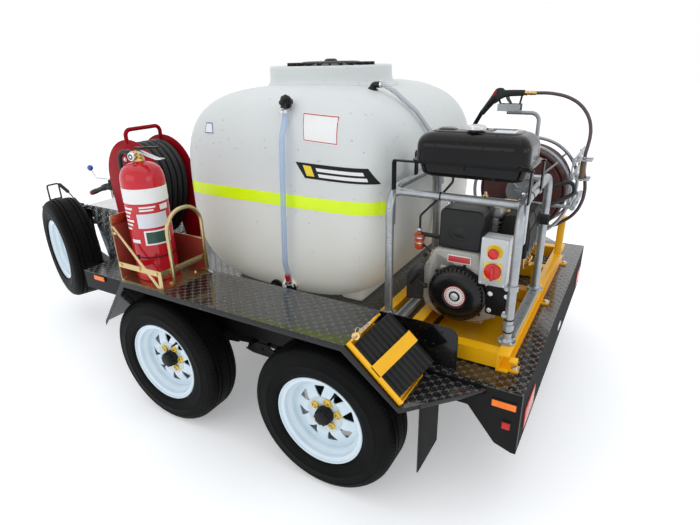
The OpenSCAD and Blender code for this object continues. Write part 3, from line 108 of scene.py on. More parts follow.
# The camera, mirror and see-through rays meet plain white; all other rays meet a sky that
# grows brighter from the horizon upwards.
sky = bpy.data.worlds.new("studio")
bpy.context.scene.world = sky
sky.use_nodes = True
sky_tree = sky.node_tree
sky_path = add_node(sky_tree, "LightPath").outputs
sky_any = add_node(sky_tree, "Math", {0: sky_path["Is Camera Ray"], 1: sky_path["Is Transmission Ray"]},
                   operation="MAXIMUM")
sky_also = add_node(sky_tree, "Math", {0: sky_any.outputs[0], 1: sky_path["Is Glossy Ray"]},
                    operation="MAXIMUM")
sky_split = add_node(sky_tree, "SeparateXYZ", {0: add_node(sky_tree, "TexCoord").outputs["Generated"]})
sky_light = sky_tree.nodes["Background"]
feed(sky_light, {"Color": (0.93, 0.96, 1, 1),
                 "Strength": ramp(sky_tree, sky_split.outputs["Z"], 0.0, 0.5, 0.40, 0.98)})
sky_seen = add_node(sky_tree, "Background", {"Color": (1, 1, 1, 1)})
sky_mix = add_node(sky_tree, "MixShader", {0: sky_also.outputs[0], 1: sky_light.outputs[0],
                                           2: sky_seen.outputs[0]})
feed(sky_tree.nodes["World Output"], {"Surface": sky_mix.outputs[0]})


def softbox(name, place, aim, size, watts, colour=(1, 1, 1)):
    lamp = bpy.data.lights.new(name, "AREA")
    lamp.shape = "RECTANGLE"
    lamp.size, lamp.size_y = size
    lamp.energy = watts
    lamp.color = colour
    box = bpy.data.objects.new(name, lamp)
    bpy.context.scene.collection.objects.link(box)
    box.location = place
    box.rotation_euler = (Vector(aim) - Vector(place)).to_track_quat("-Z", "Y").to_euler()


softbox("overhead_softbox", (0.2, -0.6, 5.2), (0.0, 0.0, 0.6), (6.5, 4.5), 42)
softbox("left_panel", (-1.2, -6.0, 2.6), (0.0, 0.0, 0.7), (5.0, 2.2), 34, (1, 0.985, 0.96))
softbox("rear_panel", (6.5, -1.5, 2.4), (1.0, 0.0, 0.8), (3.0, 2.0), 22, (1, 0.985, 0.96))

# ---- Free stretch of the high-pressure hose: from the reel up to the gun ----
# 16 mm two-wire hose in a smooth maroon cover, stiff enough to stand in one arch from the
# guide rollers to the gun's swivel. It leaves the reel's winding from below.
AXLE_X = 1.409  # the rear axle, behind the middle of the trailer
tail_route = [(470, 200, 838), (510, 200, 840), (560, 199, 850), (610, 197, 870), (660, 195, 905),
              (700, 190, 950), (722, 186, 1005), (728, 183, 1060),
              (722, 181, 1110), (712, 180, 1150), (706, 181, 1190), (706, 185, 1230), (710, 194, 1270),
              (712, 206, 1310), (706, 222, 1350), (692, 240, 1385),
              (670, 256, 1416), (642, 270, 1442), (608, 281, 1462), (570, 289, 1476), (530, 295, 1484),
              (490, 299, 1488), (450, 300, 1488), (410, 300, 1487), (383, 300, 1487)]
tail_path = [(x / 1000 + AXLE_X, y / 1000, z / 1000) for x, y, z in tail_route]
bpy.ops.object.select_all(action="DESELECT")
tail_line = bpy.data.curves.new("gun_hose", "CURVE")
tail_line.dimensions = "3D"
tail_line.bevel_depth = 0.008
tail_line.bevel_resolution = 5
tail_line.resolution_u = 6
tail_line.use_fill_caps = True
tail_spline = tail_line.splines.new("BEZIER")
tail_spline.bezier_points.add(len(tail_path) - 1)
for knot, place in zip(tail_spline.bezier_points, tail_path):
    knot.co = place
    knot.handle_left_type = knot.handle_right_type = "AUTO"
gun_hose = bpy.data.objects.new("gun_hose", tail_line)
bpy.context.scene.collection.objects.link(gun_hose)
gun_hose.select_set(True)
bpy.context.view_layer.objects.active = gun_hose
bpy.ops.object.convert(target="MESH")
gun_hose = bpy.context.object
bpy.ops.object.shade_smooth_by_angle(angle=math.radians(40))
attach(gun_hose, "trailer")
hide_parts("reel_hose_tail")

# ---- Chassis: two rails, cross members and the drawbar arms, welded from steel section ----
# Rolled channel and square tube, welded, primed and sprayed in black two-pack gloss, and
# still wet from the wash bay, so beads of water stand on every upper face.


def coat_of(name, colour, second, rough, metal=0.0, patch=5.0, grain=220.0, bumps=0.15, clear=0.0, drops=0.0,
            spread=0.5, shine=0.5):
    """A finish that drifts in soft patches between two tones, with a fine grain and beads of water"""
    mat = bpy.data.materials.new(name)
    mat.use_nodes = True
    tree = mat.node_tree
    where = add_node(tree, "TexCoord").outputs["Object"]
    soft, fine = (add_node(tree, "TexNoise", {"Vector": where, "Scale": scale, "Detail": detail,
                                              "Roughness": 0.6}).outputs["Fac"]
                  for scale, detail in ((patch, 5), (grain, 3)))
    drift = ramp(tree, soft, 0.5 - spread * 0.4, 0.5 + spread * 0.4, 0, 1)
    blend = add_node(tree, "Mix", data_type="RGBA")
    feed(blend, {"A": (*colour, 1), "B": (*second, 1), "Factor": drift})
    last = add_node(tree, "Bump", {"Strength": bumps, "Distance": 0.0006, "Height": fine})
    if drops:
        warp = add_node(tree, "TexNoise", {"Vector": where, "Scale": 45})
        push = add_node(tree, "VectorMath", {0: warp.outputs["Color"], "Scale": 0.016}, operation="SCALE")
        moved = add_node(tree, "VectorMath", {0: where, 1: push.outputs[0]})
        beads = add_node(tree, "TexVoronoi", {"Vector": moved.outputs[0], "Scale": 62})
        size = add_node(tree, "SeparateColor", {0: beads.outputs["Color"]})
        radius = ramp(tree, size.outputs[0], 1 - drops, 1, 0.02, 0.42)
        ratio = add_node(tree, "Math", {0: beads.outputs["Distance"], 1: radius}, operation="DIVIDE")
        dome = ramp(tree, ratio.outputs[0], 0.35, 1.0, 1, 0)
        last = add_node(tree, "Bump", {"Strength": 0.9, "Distance": 0.0035, "Height": dome,
                                       "Normal": last.outputs[0]})
    feed(shader_of(mat), {"Base Color": blend.outputs["Result"], "Metallic": metal,
                          "Roughness": ramp(tree, fine, 0.25, 0.75, max(rough - 0.07, 0.02), rough + 0.07),
                          "Specular IOR Level": shine, "Coat Weight": clear, "Coat Roughness": 0.06,
                          "Normal": last.outputs[0]})
    if clear:
        feed(shader_of(mat), {"Coat Normal": last.outputs[0]})
    return mat


def where_on(mat):
    """Places on the painted piece, for more nodes in its finish"""
    return mat.node_tree.nodes["Texture Coordinate"].outputs["Object"]


def behind(mat, socket):
    """The output that feeds one of the finish's sockets so far"""
    return shader_of(mat).inputs[socket].links[0].from_socket


def dress(name, mat, edge=0.0):
    """Gives a welded or bought-in node its finish, smooth shading on its curves, and softened edges"""
    part = node[name]
    part.data.materials.clear()
    part.data.materials.append(mat)
    part.data.polygons.foreach_set("material_index", [0] * len(part.data.polygons))
    part.data.polygons.foreach_set("use_smooth", [True] * len(part.data.polygons))
    weld = part.modifiers.new("weld", "WELD")
    weld.merge_threshold = 0.00005
    if edge:
        round_off = part.modifiers.new("edge", "BEVEL")
        round_off.width = edge
        round_off.segments = 2
        round_off.limit_method = "ANGLE"
        round_off.angle_limit = math.radians(40)
    split = part.modifiers.new("split", "EDGE_SPLIT")
    split.split_angle = math.radians(32)


black_gloss = coat_of("black_gloss_paint", (0.004, 0.004, 0.005), (0.009, 0.009, 0.010), 0.13, patch=3,
                      bumps=0.05, drops=0.45, shine=0.35)
black_satin = coat_of("black_satin_paint", (0.005, 0.005, 0.006), (0.010, 0.0095, 0.009), 0.34, patch=7,
                      bumps=0.2, shine=0.12)
dress("chassis_frame", black_satin)
dress("running_gear", coat_of("axle_black", (0.006, 0.006, 0.006), (0.018, 0.016, 0.013), 0.55, patch=12,
                              bumps=0.5, shine=0.2))

# ---- Deck: a sheet of checker plate on the cross members, turned down at the rear ----
# Hot-rolled steel tread plate with raised bars in two directions, painted with the frame;
# the turned-down rear lip is chipped and dull from boots and fittings.
deck_black = coat_of("tread_plate_paint", (0.005, 0.005, 0.006), (0.014, 0.0135, 0.013), 0.13, patch=6,
                     bumps=0.2, clear=0.7, drops=0.5)
tree = deck_black.node_tree
bars = []
for turn, shift in ((45, 0.25), (-45, 0.75)):
    aim = add_node(tree, "Mapping", {"Vector": where_on(deck_black), "Rotation": (0, 0, math.radians(turn)),
                                     "Scale": (31, 31, 31), "Location": (0.25, shift, 0)})
    cell = add_node(tree, "VectorMath", {0: aim.outputs[0]}, operation="FRACTION")
    centre = add_node(tree, "VectorMath", {0: cell.outputs[0], 1: (0.5, 0.5, 0.5)}, operation="SUBTRACT")
    slim = add_node(tree, "VectorMath", {0: centre.outputs[0], 1: (2.2, 7.5, 0)}, operation="MULTIPLY")
    bars.append(add_node(tree, "VectorMath", {0: slim.outputs[0]}, operation="LENGTH").outputs["Value"])
nearest = add_node(tree, "Math", {0: bars[0], 1: bars[1]}, operation="MINIMUM")
lift = ramp(tree, nearest.outputs[0], 0.7, 1.0, 1, 0)
tread = add_node(tree, "Bump", {"Strength": 1, "Distance": 0.004, "Height": lift,
                                "Normal": behind(deck_black, "Normal")})
worn = add_node(tree, "Math", {0: lift, 1: 0.42, 2: behind(deck_black, "Roughness")},
                operation="MULTIPLY_ADD")
rubbed = add_node(tree, "Mix", data_type="RGBA")
feed(rubbed, {"A": behind(deck_black, "Base Color"), "B": (0.075, 0.075, 0.072, 1), "Factor": lift})
feed(shader_of(deck_black), {"Normal": tread.outputs[0], "Coat Normal": tread.outputs[0],
                             "Roughness": worn.outputs[0], "Base Color": rubbed.outputs["Result"]})
dress("deck_plate", deck_black)
dull_rear = coat_of("dull_rear_paint", (0.006, 0.006, 0.006), (0.020, 0.020, 0.019), 0.70, patch=60,
                    bumps=0.8, shine=0.05)
for part_name in ("deck_plate", "chassis_frame"):
    plate_mesh = node[part_name].data
    plate_mesh.materials.append(dull_rear)
    for face in plate_mesh.polygons:
        if face.normal.x > 0.9 and face.center.x > 2.08:
            face.material_index = 1

# ---- Mudguards: folded sheet over each pair of wheels ----
# 3 mm sheet, folded at both ends, edge-welded to a wall that stands on the deck, with a
# gusset and a rubber flap; gloss black walls, and the deck's tread plate on top.
dress("mudguards", black_gloss, 0.0015)
flap_rubber = coat_of("flap_rubber", (0.005, 0.005, 0.005), (0.010, 0.010, 0.010), 0.62, patch=20,
                      bumps=0.4, shine=0.06)
node["mudguards"].data.materials.append(flap_rubber)
node["mudguards"].data.materials.append(deck_black)
for face in node["mudguards"].data.polygons:
    if abs(face.normal.x) > 0.7 and face.center.z < 0.45:
        face.material_index = 1
    elif face.normal.z > 0.9:
        face.material_index = 2

# ---- Tyres: four light-truck tyres on the axles and one spare ----
# Black rubber, moulded in one piece: four ribs' grooves round the tread, short cuts across
# every rib, a buttressed shoulder, and fine rings on the sidewall above the bead.


def clear_pick():
    bpy.ops.object.select_all(action="DESELECT")


def pick_next(kind):
    """Unpicks everything on the active piece; corners, edges or faces are picked next"""
    bpy.context.tool_settings.mesh_select_mode = (kind == "VERT", kind == "EDGE", kind == "FACE")
    mesh = bpy.context.object.data
    for parts in (mesh.vertices, mesh.edges, mesh.polygons):
        parts.foreach_set("select", [False] * len(parts))


def outline_ring(points, closed=True):
    """Starts a piece from a circle whose corners are set on the given outline, in X and Z"""
    clear_pick()
    bpy.ops.mesh.primitive_circle_add(vertices=len(points), radius=1)
    ring = bpy.context.object
    for corner, (x, z) in zip(ring.data.vertices, points):
        corner.co = (x, 0, z)
    if not closed:
        pick_next("EDGE")
        last = next(e for e in ring.data.edges if set(e.vertices) == {0, len(points) - 1})
        last.select = True
        bpy.ops.object.mode_set(mode="EDIT")
        bpy.ops.mesh.delete(type="EDGE")
        bpy.ops.object.mode_set(mode="OBJECT")
    return ring


def drawn_out(outline, reach):
    """Fills an outline, draws it out along Y and turns its faces outwards"""
    bpy.ops.object.mode_set(mode="EDIT")
    bpy.ops.mesh.select_all(action="SELECT")
    bpy.ops.mesh.edge_face_add()
    bpy.ops.mesh.extrude_region_move(TRANSFORM_OT_translate={"value": (0, reach, 0)})
    bpy.ops.mesh.select_all(action="SELECT")
    bpy.ops.mesh.normals_make_consistent(inside=False)
    bpy.ops.object.mode_set(mode="OBJECT")


def turned(name, points, steps=64, closed=True, smooth=32):
    """Turned piece about the Z axis: its section in millimetres as radius and height, spun right round"""
    ring = outline_ring([(r / 1000, h / 1000) for r, h in points], closed)
    ring.name = name
    bpy.ops.object.mode_set(mode="EDIT")
    bpy.ops.mesh.select_all(action="SELECT")
    bpy.ops.mesh.spin(steps=steps, angle=math.tau, center=(0, 0, 0), axis=(0, 0, 1))
    bpy.ops.mesh.select_all(action="SELECT")
    bpy.ops.mesh.remove_doubles(threshold=0.00001)
    bpy.ops.mesh.normals_make_consistent(inside=False)
    bpy.ops.object.mode_set(mode="OBJECT")
    if smooth:
        bpy.ops.object.shade_smooth_by_angle(angle=math.radians(smooth))
    return ring


def settle(piece, matrix=None):
    """Puts a piece in its place and takes the place into its mesh"""
    if matrix is not None:
        piece.data.transform(matrix)
    piece.data.update()
    return piece


def joined(name, pieces):
    clear_pick()
    for p in pieces:
        p.select_set(True)
    bpy.context.view_layer.objects.active = pieces[0]
    if len(pieces) > 1:
        bpy.ops.object.join()
    whole = bpy.context.object
    whole.name = name
    return whole


def another(piece, name, matrix):
    """One more of a piece, with a mesh of its own, placed by the matrix"""
    twin = piece.copy()
    twin.data = piece.data.copy()
    twin.name = name
    bpy.context.scene.collection.objects.link(twin)
    return settle(twin, matrix)


def paint(piece, mat):
    piece.data.materials.clear()
    piece.data.materials.append(mat)
    piece.data.polygons.foreach_set("material_index", [0] * len(piece.data.polygons))
    return piece


TREAD_STEPS = 216  # twice the number of short cuts round a rib
RIB_TOP, TREAD_TOP = 0.3125, 0.3235  # radii above which ribs and their middle are bevelled
half = [(180, 66), (180, 71), (196, 71), (201, 79), (206, 86), (213, 89), (214.5, 90.6), (217.5, 90.6),
        (219, 91), (232, 93), (250, 94), (252, 95), (256, 95), (258, 94), (276, 92.6), (290, 89.5),
        (291.5, 90.8), (295, 90.2), (297, 88.5), (306, 85), (313, 80), (319, 71), (323, 62), (324.4, 57),
        (324.6, 56), (317, 55), (317, 50), (324.9, 49), (325, 39), (325, 31), (317, 30), (317, 24.5),
        (325, 23.5), (325, 12)]
inner = [(309, 60), (255, 84), (200, 60)]
tread = half + [(r, -z) for r, z in reversed(half)]
bead = [(r, -z) for r, z in reversed(inner)] + inner
tyre = turned("tyre_pattern", tread + bead, steps=TREAD_STEPS, smooth=40)
pick_next("EDGE")
corners = tyre.data.vertices
for edge in tyre.data.edges:
    a, b = (corners[i].co for i in edge.vertices)
    ra, rb = math.hypot(a.x, a.y), math.hypot(b.x, b.y)
    level = abs(math.atan2(a.y, a.x) - math.atan2(b.y, b.x)) < 1e-4
    step = round(math.degrees(math.atan2(a.y, a.x)) / (360 / TREAD_STEPS))
    beyond = TREAD_TOP if max(abs(a.z), abs(b.z)) < 0.055 else RIB_TOP
    edge.select = level and step % 2 == 0 and min(ra, rb) > beyond
bpy.ops.object.mode_set(mode="EDIT")
bpy.ops.mesh.bevel(offset=0.0011, segments=2, affect="EDGES", clamp_overlap=True)
bpy.ops.object.mode_set(mode="OBJECT")
pick_next("VERT")
for v in tyre.data.vertices:
    turn = math.degrees(math.atan2(v.co.y, v.co.x)) / (720 / TREAD_STEPS)
    out = abs(v.co.z)
    on_cut = abs(turn - round(turn)) < 0.02 and out < 0.0802 and math.hypot(v.co.x, v.co.y) > 0.3135
    v.select = on_cut and not (0.0235 < out < 0.0305 or 0.0495 < out < 0.0562)
bpy.ops.object.mode_set(mode="EDIT")
bpy.ops.transform.resize(value=(0.9835, 0.9835, 1))
bpy.ops.object.mode_set(mode="OBJECT")
bpy.ops.object.shade_smooth_by_angle(angle=math.radians(28))

rubber = coat_of("tyre_rubber", (0.004, 0.0042, 0.0045), (0.008, 0.008, 0.008), 0.52, patch=9, grain=420,
                 bumps=0.35, shine=0.05)
paint(tyre, rubber)

# ---- Wheels: white steel rims with eight pressed windows ----
# A rolled rim with its drop centre, and a pressed dish with eight rounded triangular
# windows, welded together and powder coated white.
barrel = turned("rim_barrel", [(198, 78), (199, 80.5), (197, 83), (193.5, 83), (192, 80), (191, 75.5),
                               (186, 73.2), (176, 72), (174, 69), (173.5, 57), (171, 53),
                               (160, 44), (157, 40), (156, 34), (156, -34), (158, -38), (172, -50),
                               (174, -54), (174, -71), (176, -73), (190, -74.5), (192.5, -78),
                               (197, -80), (198, -76), (195, -74), (192, -71.5), (178, -70), (178, -52),
                               (160, -33), (160, 33), (178, 55), (178, 70), (192, 71.5), (195, 74)], 120)
dish = turned("rim_dish", [(33, 21), (36, 22), (68, 22), (74, 24), (80, 30), (86, 33.5), (95, 34), (104, 32),
                           (146, 17.5), (151, 17), (155, 20), (157.6, 26), (157.8, 6), (154, 10.5),
                           (147, 12.5), (103, 26.5), (95, 28.5), (87, 28), (81, 24), (73, 17),
                           (68, 16), (34, 16)], 120)
WINDOW_PHASE = 39.5  # degrees from the valve to the first window
window = []
for cx, cz, r, a0, a1 in ((87, 0, 4.5, 120, 240), (125, -20, 4.5, 240, 365), (125, 20, 4.5, -5, 120)):
    corner_turns = [math.radians(a0 + (a1 - a0) * i / 6) for i in range(7)]
    window += [(cx + r * math.cos(a), cz + r * math.sin(a)) for a in corner_turns]
cutter = outline_ring([(x / 1000, z / 1000) for x, z in window])
drawn_out(cutter, 0.05)
settle(cutter, spun(90, "X"))
cutters = joined("window_cutter", [another(cutter, "w", spun(WINDOW_PHASE + 45 * i, "Z")) for i in range(8)])


def cut_away(piece, tool):
    """Takes the tool's shape out of a piece, and drops the tool"""
    clear_pick()
    bpy.context.view_layer.objects.active = piece
    piece.select_set(True)
    cut = piece.modifiers.new("cut", "BOOLEAN")
    cut.object = tool
    cut.solver = "EXACT"
    bpy.ops.object.modifier_apply(modifier="cut")
    bpy.data.objects.remove(tool)
    return piece


def soften(piece, width, segments=2, angle=35):
    """Breaks a piece's sharp edges, as pressing, casting or filing does"""
    clear_pick()
    bpy.context.view_layer.objects.active = piece
    piece.select_set(True)
    round_off = piece.modifiers.new("edge", "BEVEL")
    round_off.width = width
    round_off.segments = segments
    round_off.limit_method = "ANGLE"
    round_off.angle_limit = math.radians(angle)
    bpy.ops.object.modifier_apply(modifier="edge")
    bpy.ops.object.shade_smooth_by_angle(angle=math.radians(40))
    return piece


bpy.data.objects.remove(cutter)
cut_away(dish, cutters)
soften(dish, 0.0012, 2, 50)
rim_pattern = joined("rim_pattern", [barrel, dish])
rim_white = coat_of("rim_powder_coat", (0.70, 0.81, 0.88), (0.64, 0.75, 0.82), 0.24, patch=6,
                    bumps=0.06, clear=0.3)
paint(rim_pattern, rim_white)

# ---- Hubs: drum, grease cap and five wheel nuts ----
# A cast hub and drum behind the dish, a ribbed black rubber cap over the bearing, gold-plated
# nuts, each with a yellow plastic pointer that shows if it has turned, and a rubber valve.
drum = turned("hub_drum", [(20, -95), (62, -95), (62, -88), (115, -84), (115, -26), (62, -24), (60, 4),
                           (71, 6), (71, 14), (34, 15), (33, 33), (28, 34), (20, 30)], 72)
paint(drum, black_satin)
cap_section = [(0, 71.5), (20, 71.5), (26, 69), (30, 64), (32, 56), (34, 40), (39, 36), (40, 31),
               (38, 25), (0, 25)]
cap = turned("hub_cap", cap_section, 40, closed=False)
pick_next("FACE")
for face in cap.data.polygons:
    c = face.center
    notch = round(math.degrees(math.atan2(c.y, c.x)) / 9 - 0.5) % 4 < 2
    if 0.030 < math.hypot(c.x, c.y) < 0.038 and 0.040 < c.z < 0.061 and notch:
        face.select = True
bpy.ops.object.mode_set(mode="EDIT")
bpy.ops.mesh.extrude_region_shrink_fatten(TRANSFORM_OT_shrink_fatten={"value": 0.004})
bpy.ops.object.mode_set(mode="OBJECT")
soften(cap, 0.0008, 1)
paint(cap, coat_of("cap_rubber", (0.005, 0.005, 0.006), (0.010, 0.010, 0.010), 0.42, patch=30,
                   bumps=0.3, shine=0.2))
gold_plate = coat_of("gold_zinc_plate", (0.78, 0.55, 0.22), (0.66, 0.50, 0.30), 0.28, metal=1.0,
                     patch=22, bumps=0.15)
NUT_CIRCLE = 0.05715  # radius of the five nuts' circle
nut = turned("wheel_nut", [(0, 36), (5.6, 36), (6, 30), (10.5, 29.5), (11, 20), (0, 20)], 6,
             closed=False, smooth=0)
soften(nut, 0.0009)
collar = turned("nut_collar", [(11.5, 20.5), (15.5, 20.5), (16.2, 22), (16.2, 30), (15, 31.5),
                               (11.5, 31.5)], 24)
tip = outline_ring([(0.014, 0.006), (0.0265, 0.0015), (0.0265, -0.0015), (0.014, -0.006)])
drawn_out(tip, 0.006)
settle(tip, Matrix.Translation((0, 0, 0.022)) @ spun(90, "X"))
soften(tip, 0.001)
pointer = joined("nut_pointer", [collar, tip])
yellow_plastic = coat_of("yellow_nylon", (0.86, 0.60, 0.03), (0.78, 0.50, 0.02), 0.38, patch=40, bumps=0.12)
paint(nut, gold_plate)
paint(pointer, yellow_plastic)
valve = turned("valve_stem", [(0, 99), (3, 99), (3.6, 98), (3.6, 88), (4.4, 87.5), (5.5, 74), (7.5, 70),
                              (7.5, 66), (0, 66)], 16, closed=False)
settle(valve, Matrix.Translation((0.166, 0, 0)) @ spun(-14, "Y") @ Matrix.Translation((0.014, 0, -0.003)))
paint(valve, black_satin)
fixed = [drum, cap, valve]
for i in range(5):
    spot = spun(90 + 72 * i, "Z") @ Matrix.Translation((NUT_CIRCLE, 0, 0))
    fixed.append(another(nut, "n", spot))
    fixed.append(another(pointer, "p", spot @ spun((25, -40, 170, 80, -110)[i], "Z")))
hub_pattern = joined("hub_pattern", fixed)
bpy.data.objects.remove(nut)
bpy.data.objects.remove(pointer)

for place, turn in (("front_left", 52), ("front_right", 10), ("rear_left", 63), ("rear_right", 120)):
    low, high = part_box("tyre_" + place)
    middle = (low + high) / 2
    side = -1 if "left" in place else 1
    set_here = Matrix.Translation(middle) @ spun(-90 * side, "X") @ spun(turn, "Z")
    for pattern, called, covers, finish_slot in ((tyre, "tyre_", "tyre_", "tyre"),
                                                 (rim_pattern, "wheel_", "rim_", "white_paint"),
                                                 (hub_pattern, "hub_", "rim_", "black_plastic")):
        piece = another(pattern, called + "of_" + place, set_here)
        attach(piece, "wheel_" + place)
        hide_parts(covers + place)

# ---- Spare wheel: bolted to a post on the left drawbar arm ----
# The same tyre and white steel rim as on the axles, without a hub; five gold-plated nuts
# hold it to the carrier's flange through the dish.
low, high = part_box("spare_tyre")
spare_turn = Matrix.Translation((low + high) / 2) @ spun(-math.degrees(math.atan2(614, 1980)), "Z") @ spun(90,
        "X")
clear_pick()
spare_nuts = []
for i in range(5):
    spare_nuts.append(turned("spare_nut", [(0, 36), (5.6, 36), (6, 30), (10.5, 29.5), (11, 22), (0, 22)], 6,
                             closed=False, smooth=0))
    settle(spare_nuts[-1], spun(90 + 72 * i, "Z") @ Matrix.Translation((NUT_CIRCLE, 0, 0)))
spare_nuts = paint(joined("spare_nuts", spare_nuts), gold_plate)
settle(spare_nuts, spare_turn)
for pattern, called, covers, finish_slot in ((tyre, "spare_tyre_dressed", "spare_tyre", "tyre"),
                                             (rim_pattern, "spare_wheel", "spare_rim", "white_paint")):
    piece = another(pattern, called, spare_turn)
    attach(piece, "trailer")
    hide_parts(covers)
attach(spare_nuts, "trailer")
for pattern in (tyre, rim_pattern, hub_pattern):
    bpy.data.objects.remove(pattern)

# ---- Water tank: one moulded polyethylene shell with a collar round its manhole ----
# Cream polyethylene, rotomoulded about 9 mm thick: a rounded barrel that lies across the
# deck on two moulded feet, with an upright collar blended into its crown.


def mm(x, y, z):
    """A place given in millimetres from the rear axle, across from the middle and up from the ground"""
    return Vector((x / 1000 + AXLE_X, y / 1000, z / 1000))


TANK_MIDDLE = mm(-504, 0, 1062)
TANK_HALF = Vector((0.590, 0.640, 0.490))
TANK_XZ, TANK_Y = 3.1, 7.0


def on_shell(v):
    """Moves a direction out to the shell of the barrel"""
    flat = (abs(v.x) ** TANK_XZ + abs(v.z) ** TANK_XZ) ** (TANK_Y / TANK_XZ)
    reach = (flat + abs(v.y) ** TANK_Y) ** (-1 / TANK_Y)
    return TANK_MIDDLE + Vector((v.x * TANK_HALF.x, v.y * TANK_HALF.y, v.z * TANK_HALF.z)) * reach


def left_wall(x, z, lift=0.0):
    """The place on the tank's left end at a length and height in millimetres, lifted off the shell"""
    u = abs((mm(x, 0, 0).x - TANK_MIDDLE.x) / TANK_HALF.x)
    w = abs((z / 1000 - TANK_MIDDLE.z) / TANK_HALF.z)
    inside = min((u ** TANK_XZ + w ** TANK_XZ) ** (TANK_Y / TANK_XZ), 0.999)
    return Vector((mm(x, 0, 0).x, -TANK_HALF.y * (1 - inside) ** (1 / TANK_Y) - lift, z / 1000))


def crown(x, y):
    """Height of the tank's top over a place"""
    u = abs((x - TANK_MIDDLE.x) / TANK_HALF.x)
    rest = (1 - min(abs(y / TANK_HALF.y), 0.999) ** TANK_Y) ** (TANK_XZ / TANK_Y) - u ** TANK_XZ
    return TANK_MIDDLE.z + TANK_HALF.z * max(rest, 0) ** (1 / TANK_XZ)


clear_pick()
bpy.ops.mesh.primitive_cube_add(size=2)
shell = bpy.context.object
shell.name = "tank_shell"
bpy.ops.object.mode_set(mode="EDIT")
bpy.ops.mesh.subdivide(number_cuts=41)
bpy.ops.object.mode_set(mode="OBJECT")
for v in shell.data.vertices:
    v.co = on_shell(v.co)
NECK = mm(-542, 0, 0)
pick_next("FACE")
for face in shell.data.polygons:
    if face.center.z > 1.4 and math.hypot(face.center.x - NECK.x, face.center.y) < 0.27:
        face.select = True
bpy.ops.object.mode_set(mode="EDIT")
bpy.ops.mesh.delete(type="FACE")
bpy.ops.object.mode_set(mode="OBJECT")
wall = shell.modifiers.new("wall", "SOLIDIFY")
wall.thickness = 0.009
wall.offset = -1
bpy.ops.object.modifier_apply(modifier="wall")
bpy.ops.object.shade_smooth()

COLLAR_STEPS = 96
FROM_GROUND = 1000  # a collar height above this is measured from the ground, the others from the crown
rings = [(346, 0), (336, 3), (326, 10), (318.5, 22), (315, 38), (314, 60), (314, 1622), (312.5, 1627.5),
         (309, 1630.5), (303, 1631), (293, 1631), (287, 1629), (284.5, 1624), (284, 1575),
         (281, 1564), (273, 1560.5), (232, 1560), (223, 1563), (220, 1570), (220, 1595),
         (218, 1599.5), (212, 1600), (205, 1600), (201, 1597), (200, 1590), (200, 1490),
         (206, 1486), (340, -8)]
clear_pick()
bpy.ops.mesh.primitive_circle_add(vertices=COLLAR_STEPS, radius=0.346)
collar = bpy.context.object
bpy.ops.object.mode_set(mode="EDIT")
bpy.ops.mesh.select_all(action="SELECT")
for _ in rings[1:]:
    bpy.ops.mesh.extrude_edges_move()
bpy.ops.object.mode_set(mode="OBJECT")
for i, v in enumerate(collar.data.vertices):
    radius, height = rings[i // COLLAR_STEPS]
    turn = math.tau * (i % COLLAR_STEPS) / COLLAR_STEPS
    x, y = NECK.x + radius / 1000 * math.cos(turn), radius / 1000 * math.sin(turn)
    v.co = (x, y, height / 1000 if height > FROM_GROUND else crown(x, y) + height / 1000)
pick_next("EDGE")
last = COLLAR_STEPS * (len(rings) - 1)
for e in collar.data.edges:
    if all(i < COLLAR_STEPS for i in e.vertices) or all(i >= last for i in e.vertices):
        e.select = True
bpy.ops.object.mode_set(mode="EDIT")
bpy.ops.mesh.bridge_edge_loops()
bpy.ops.mesh.select_all(action="SELECT")
bpy.ops.mesh.normals_make_consistent(inside=False)
bpy.ops.object.mode_set(mode="OBJECT")
bpy.ops.object.shade_smooth()


def block(name, low, high, edge=0.002, segments=2):
    """Rectangular bar, pad or housing between two corners in millimetres, its edges rounded"""
    a, b = mm(*low), mm(*high)
    clear_pick()
    bpy.ops.mesh.primitive_cube_add(size=1, location=(a + b) / 2, scale=(b - a))
    piece = bpy.context.object
    piece.name = name
    bpy.ops.object.transform_apply(location=True, rotation=True, scale=True)
    if edge:
        soften(piece, edge, segments)
    return piece


feet = [block("foot", (-504 + x - 62, -475, 568), (-504 + x + 62, 475, 640), 0.022, 4) for x in (-330, 330)]
boss = turned("moulded_boss", [(0, 40), (18, 39), (27, 34), (32, 22), (34, 0), (0, 0)], 32, closed=False)
settle(boss, Matrix.Translation(left_wall(-470, 700) + Vector((0.05, 0.004, -0.03))) @ spun(112, "X"))
tank = joined("water_tank_shell", [shell, collar, *feet, boss])
cream = coat_of("cream_polyethylene", (0.675, 0.70, 0.69), (0.64, 0.665, 0.655), 0.42, patch=1.6, grain=900,
                bumps=0.04, drops=0.10)
tree = cream.node_tree
height = add_node(tree, "SeparateXYZ", {0: where_on(cream)}).outputs["Z"]
# Painted light: towards the bottom the shell turns a brighter, warmer cream and glows faintly, standing in
# for light on its shaded lower side.
painted_lift_low = add_node(tree, "Mix", data_type="RGBA")
feed(painted_lift_low, {"A": behind(cream, "Base Color"), "B": (0.90, 0.885, 0.79, 1),
            "Factor": ramp(tree, height, 1.25, 0.60, 0, 1)})
feed(shader_of(cream), {"Base Color": painted_lift_low.outputs["Result"], "Emission Color": (1.0, 0.99, 0.88, 1),
                        "Emission Strength": ramp(tree, height, 1.15, 0.62, 0, 0.12),
                        "Subsurface Weight": 0.12,
                        "Subsurface Radius": (0.02, 0.018, 0.014), "Subsurface Scale": 1.0})
paint(tank, cream)
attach(tank, "trailer")
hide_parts("water_tank")

# ---- Tank dressing: reflective band and two blank plates ----
# A band of fluorescent lime prismatic tape, a black vinyl plate with plain bars and a white
# vinyl plate, all printed without words and rolled onto the shell.


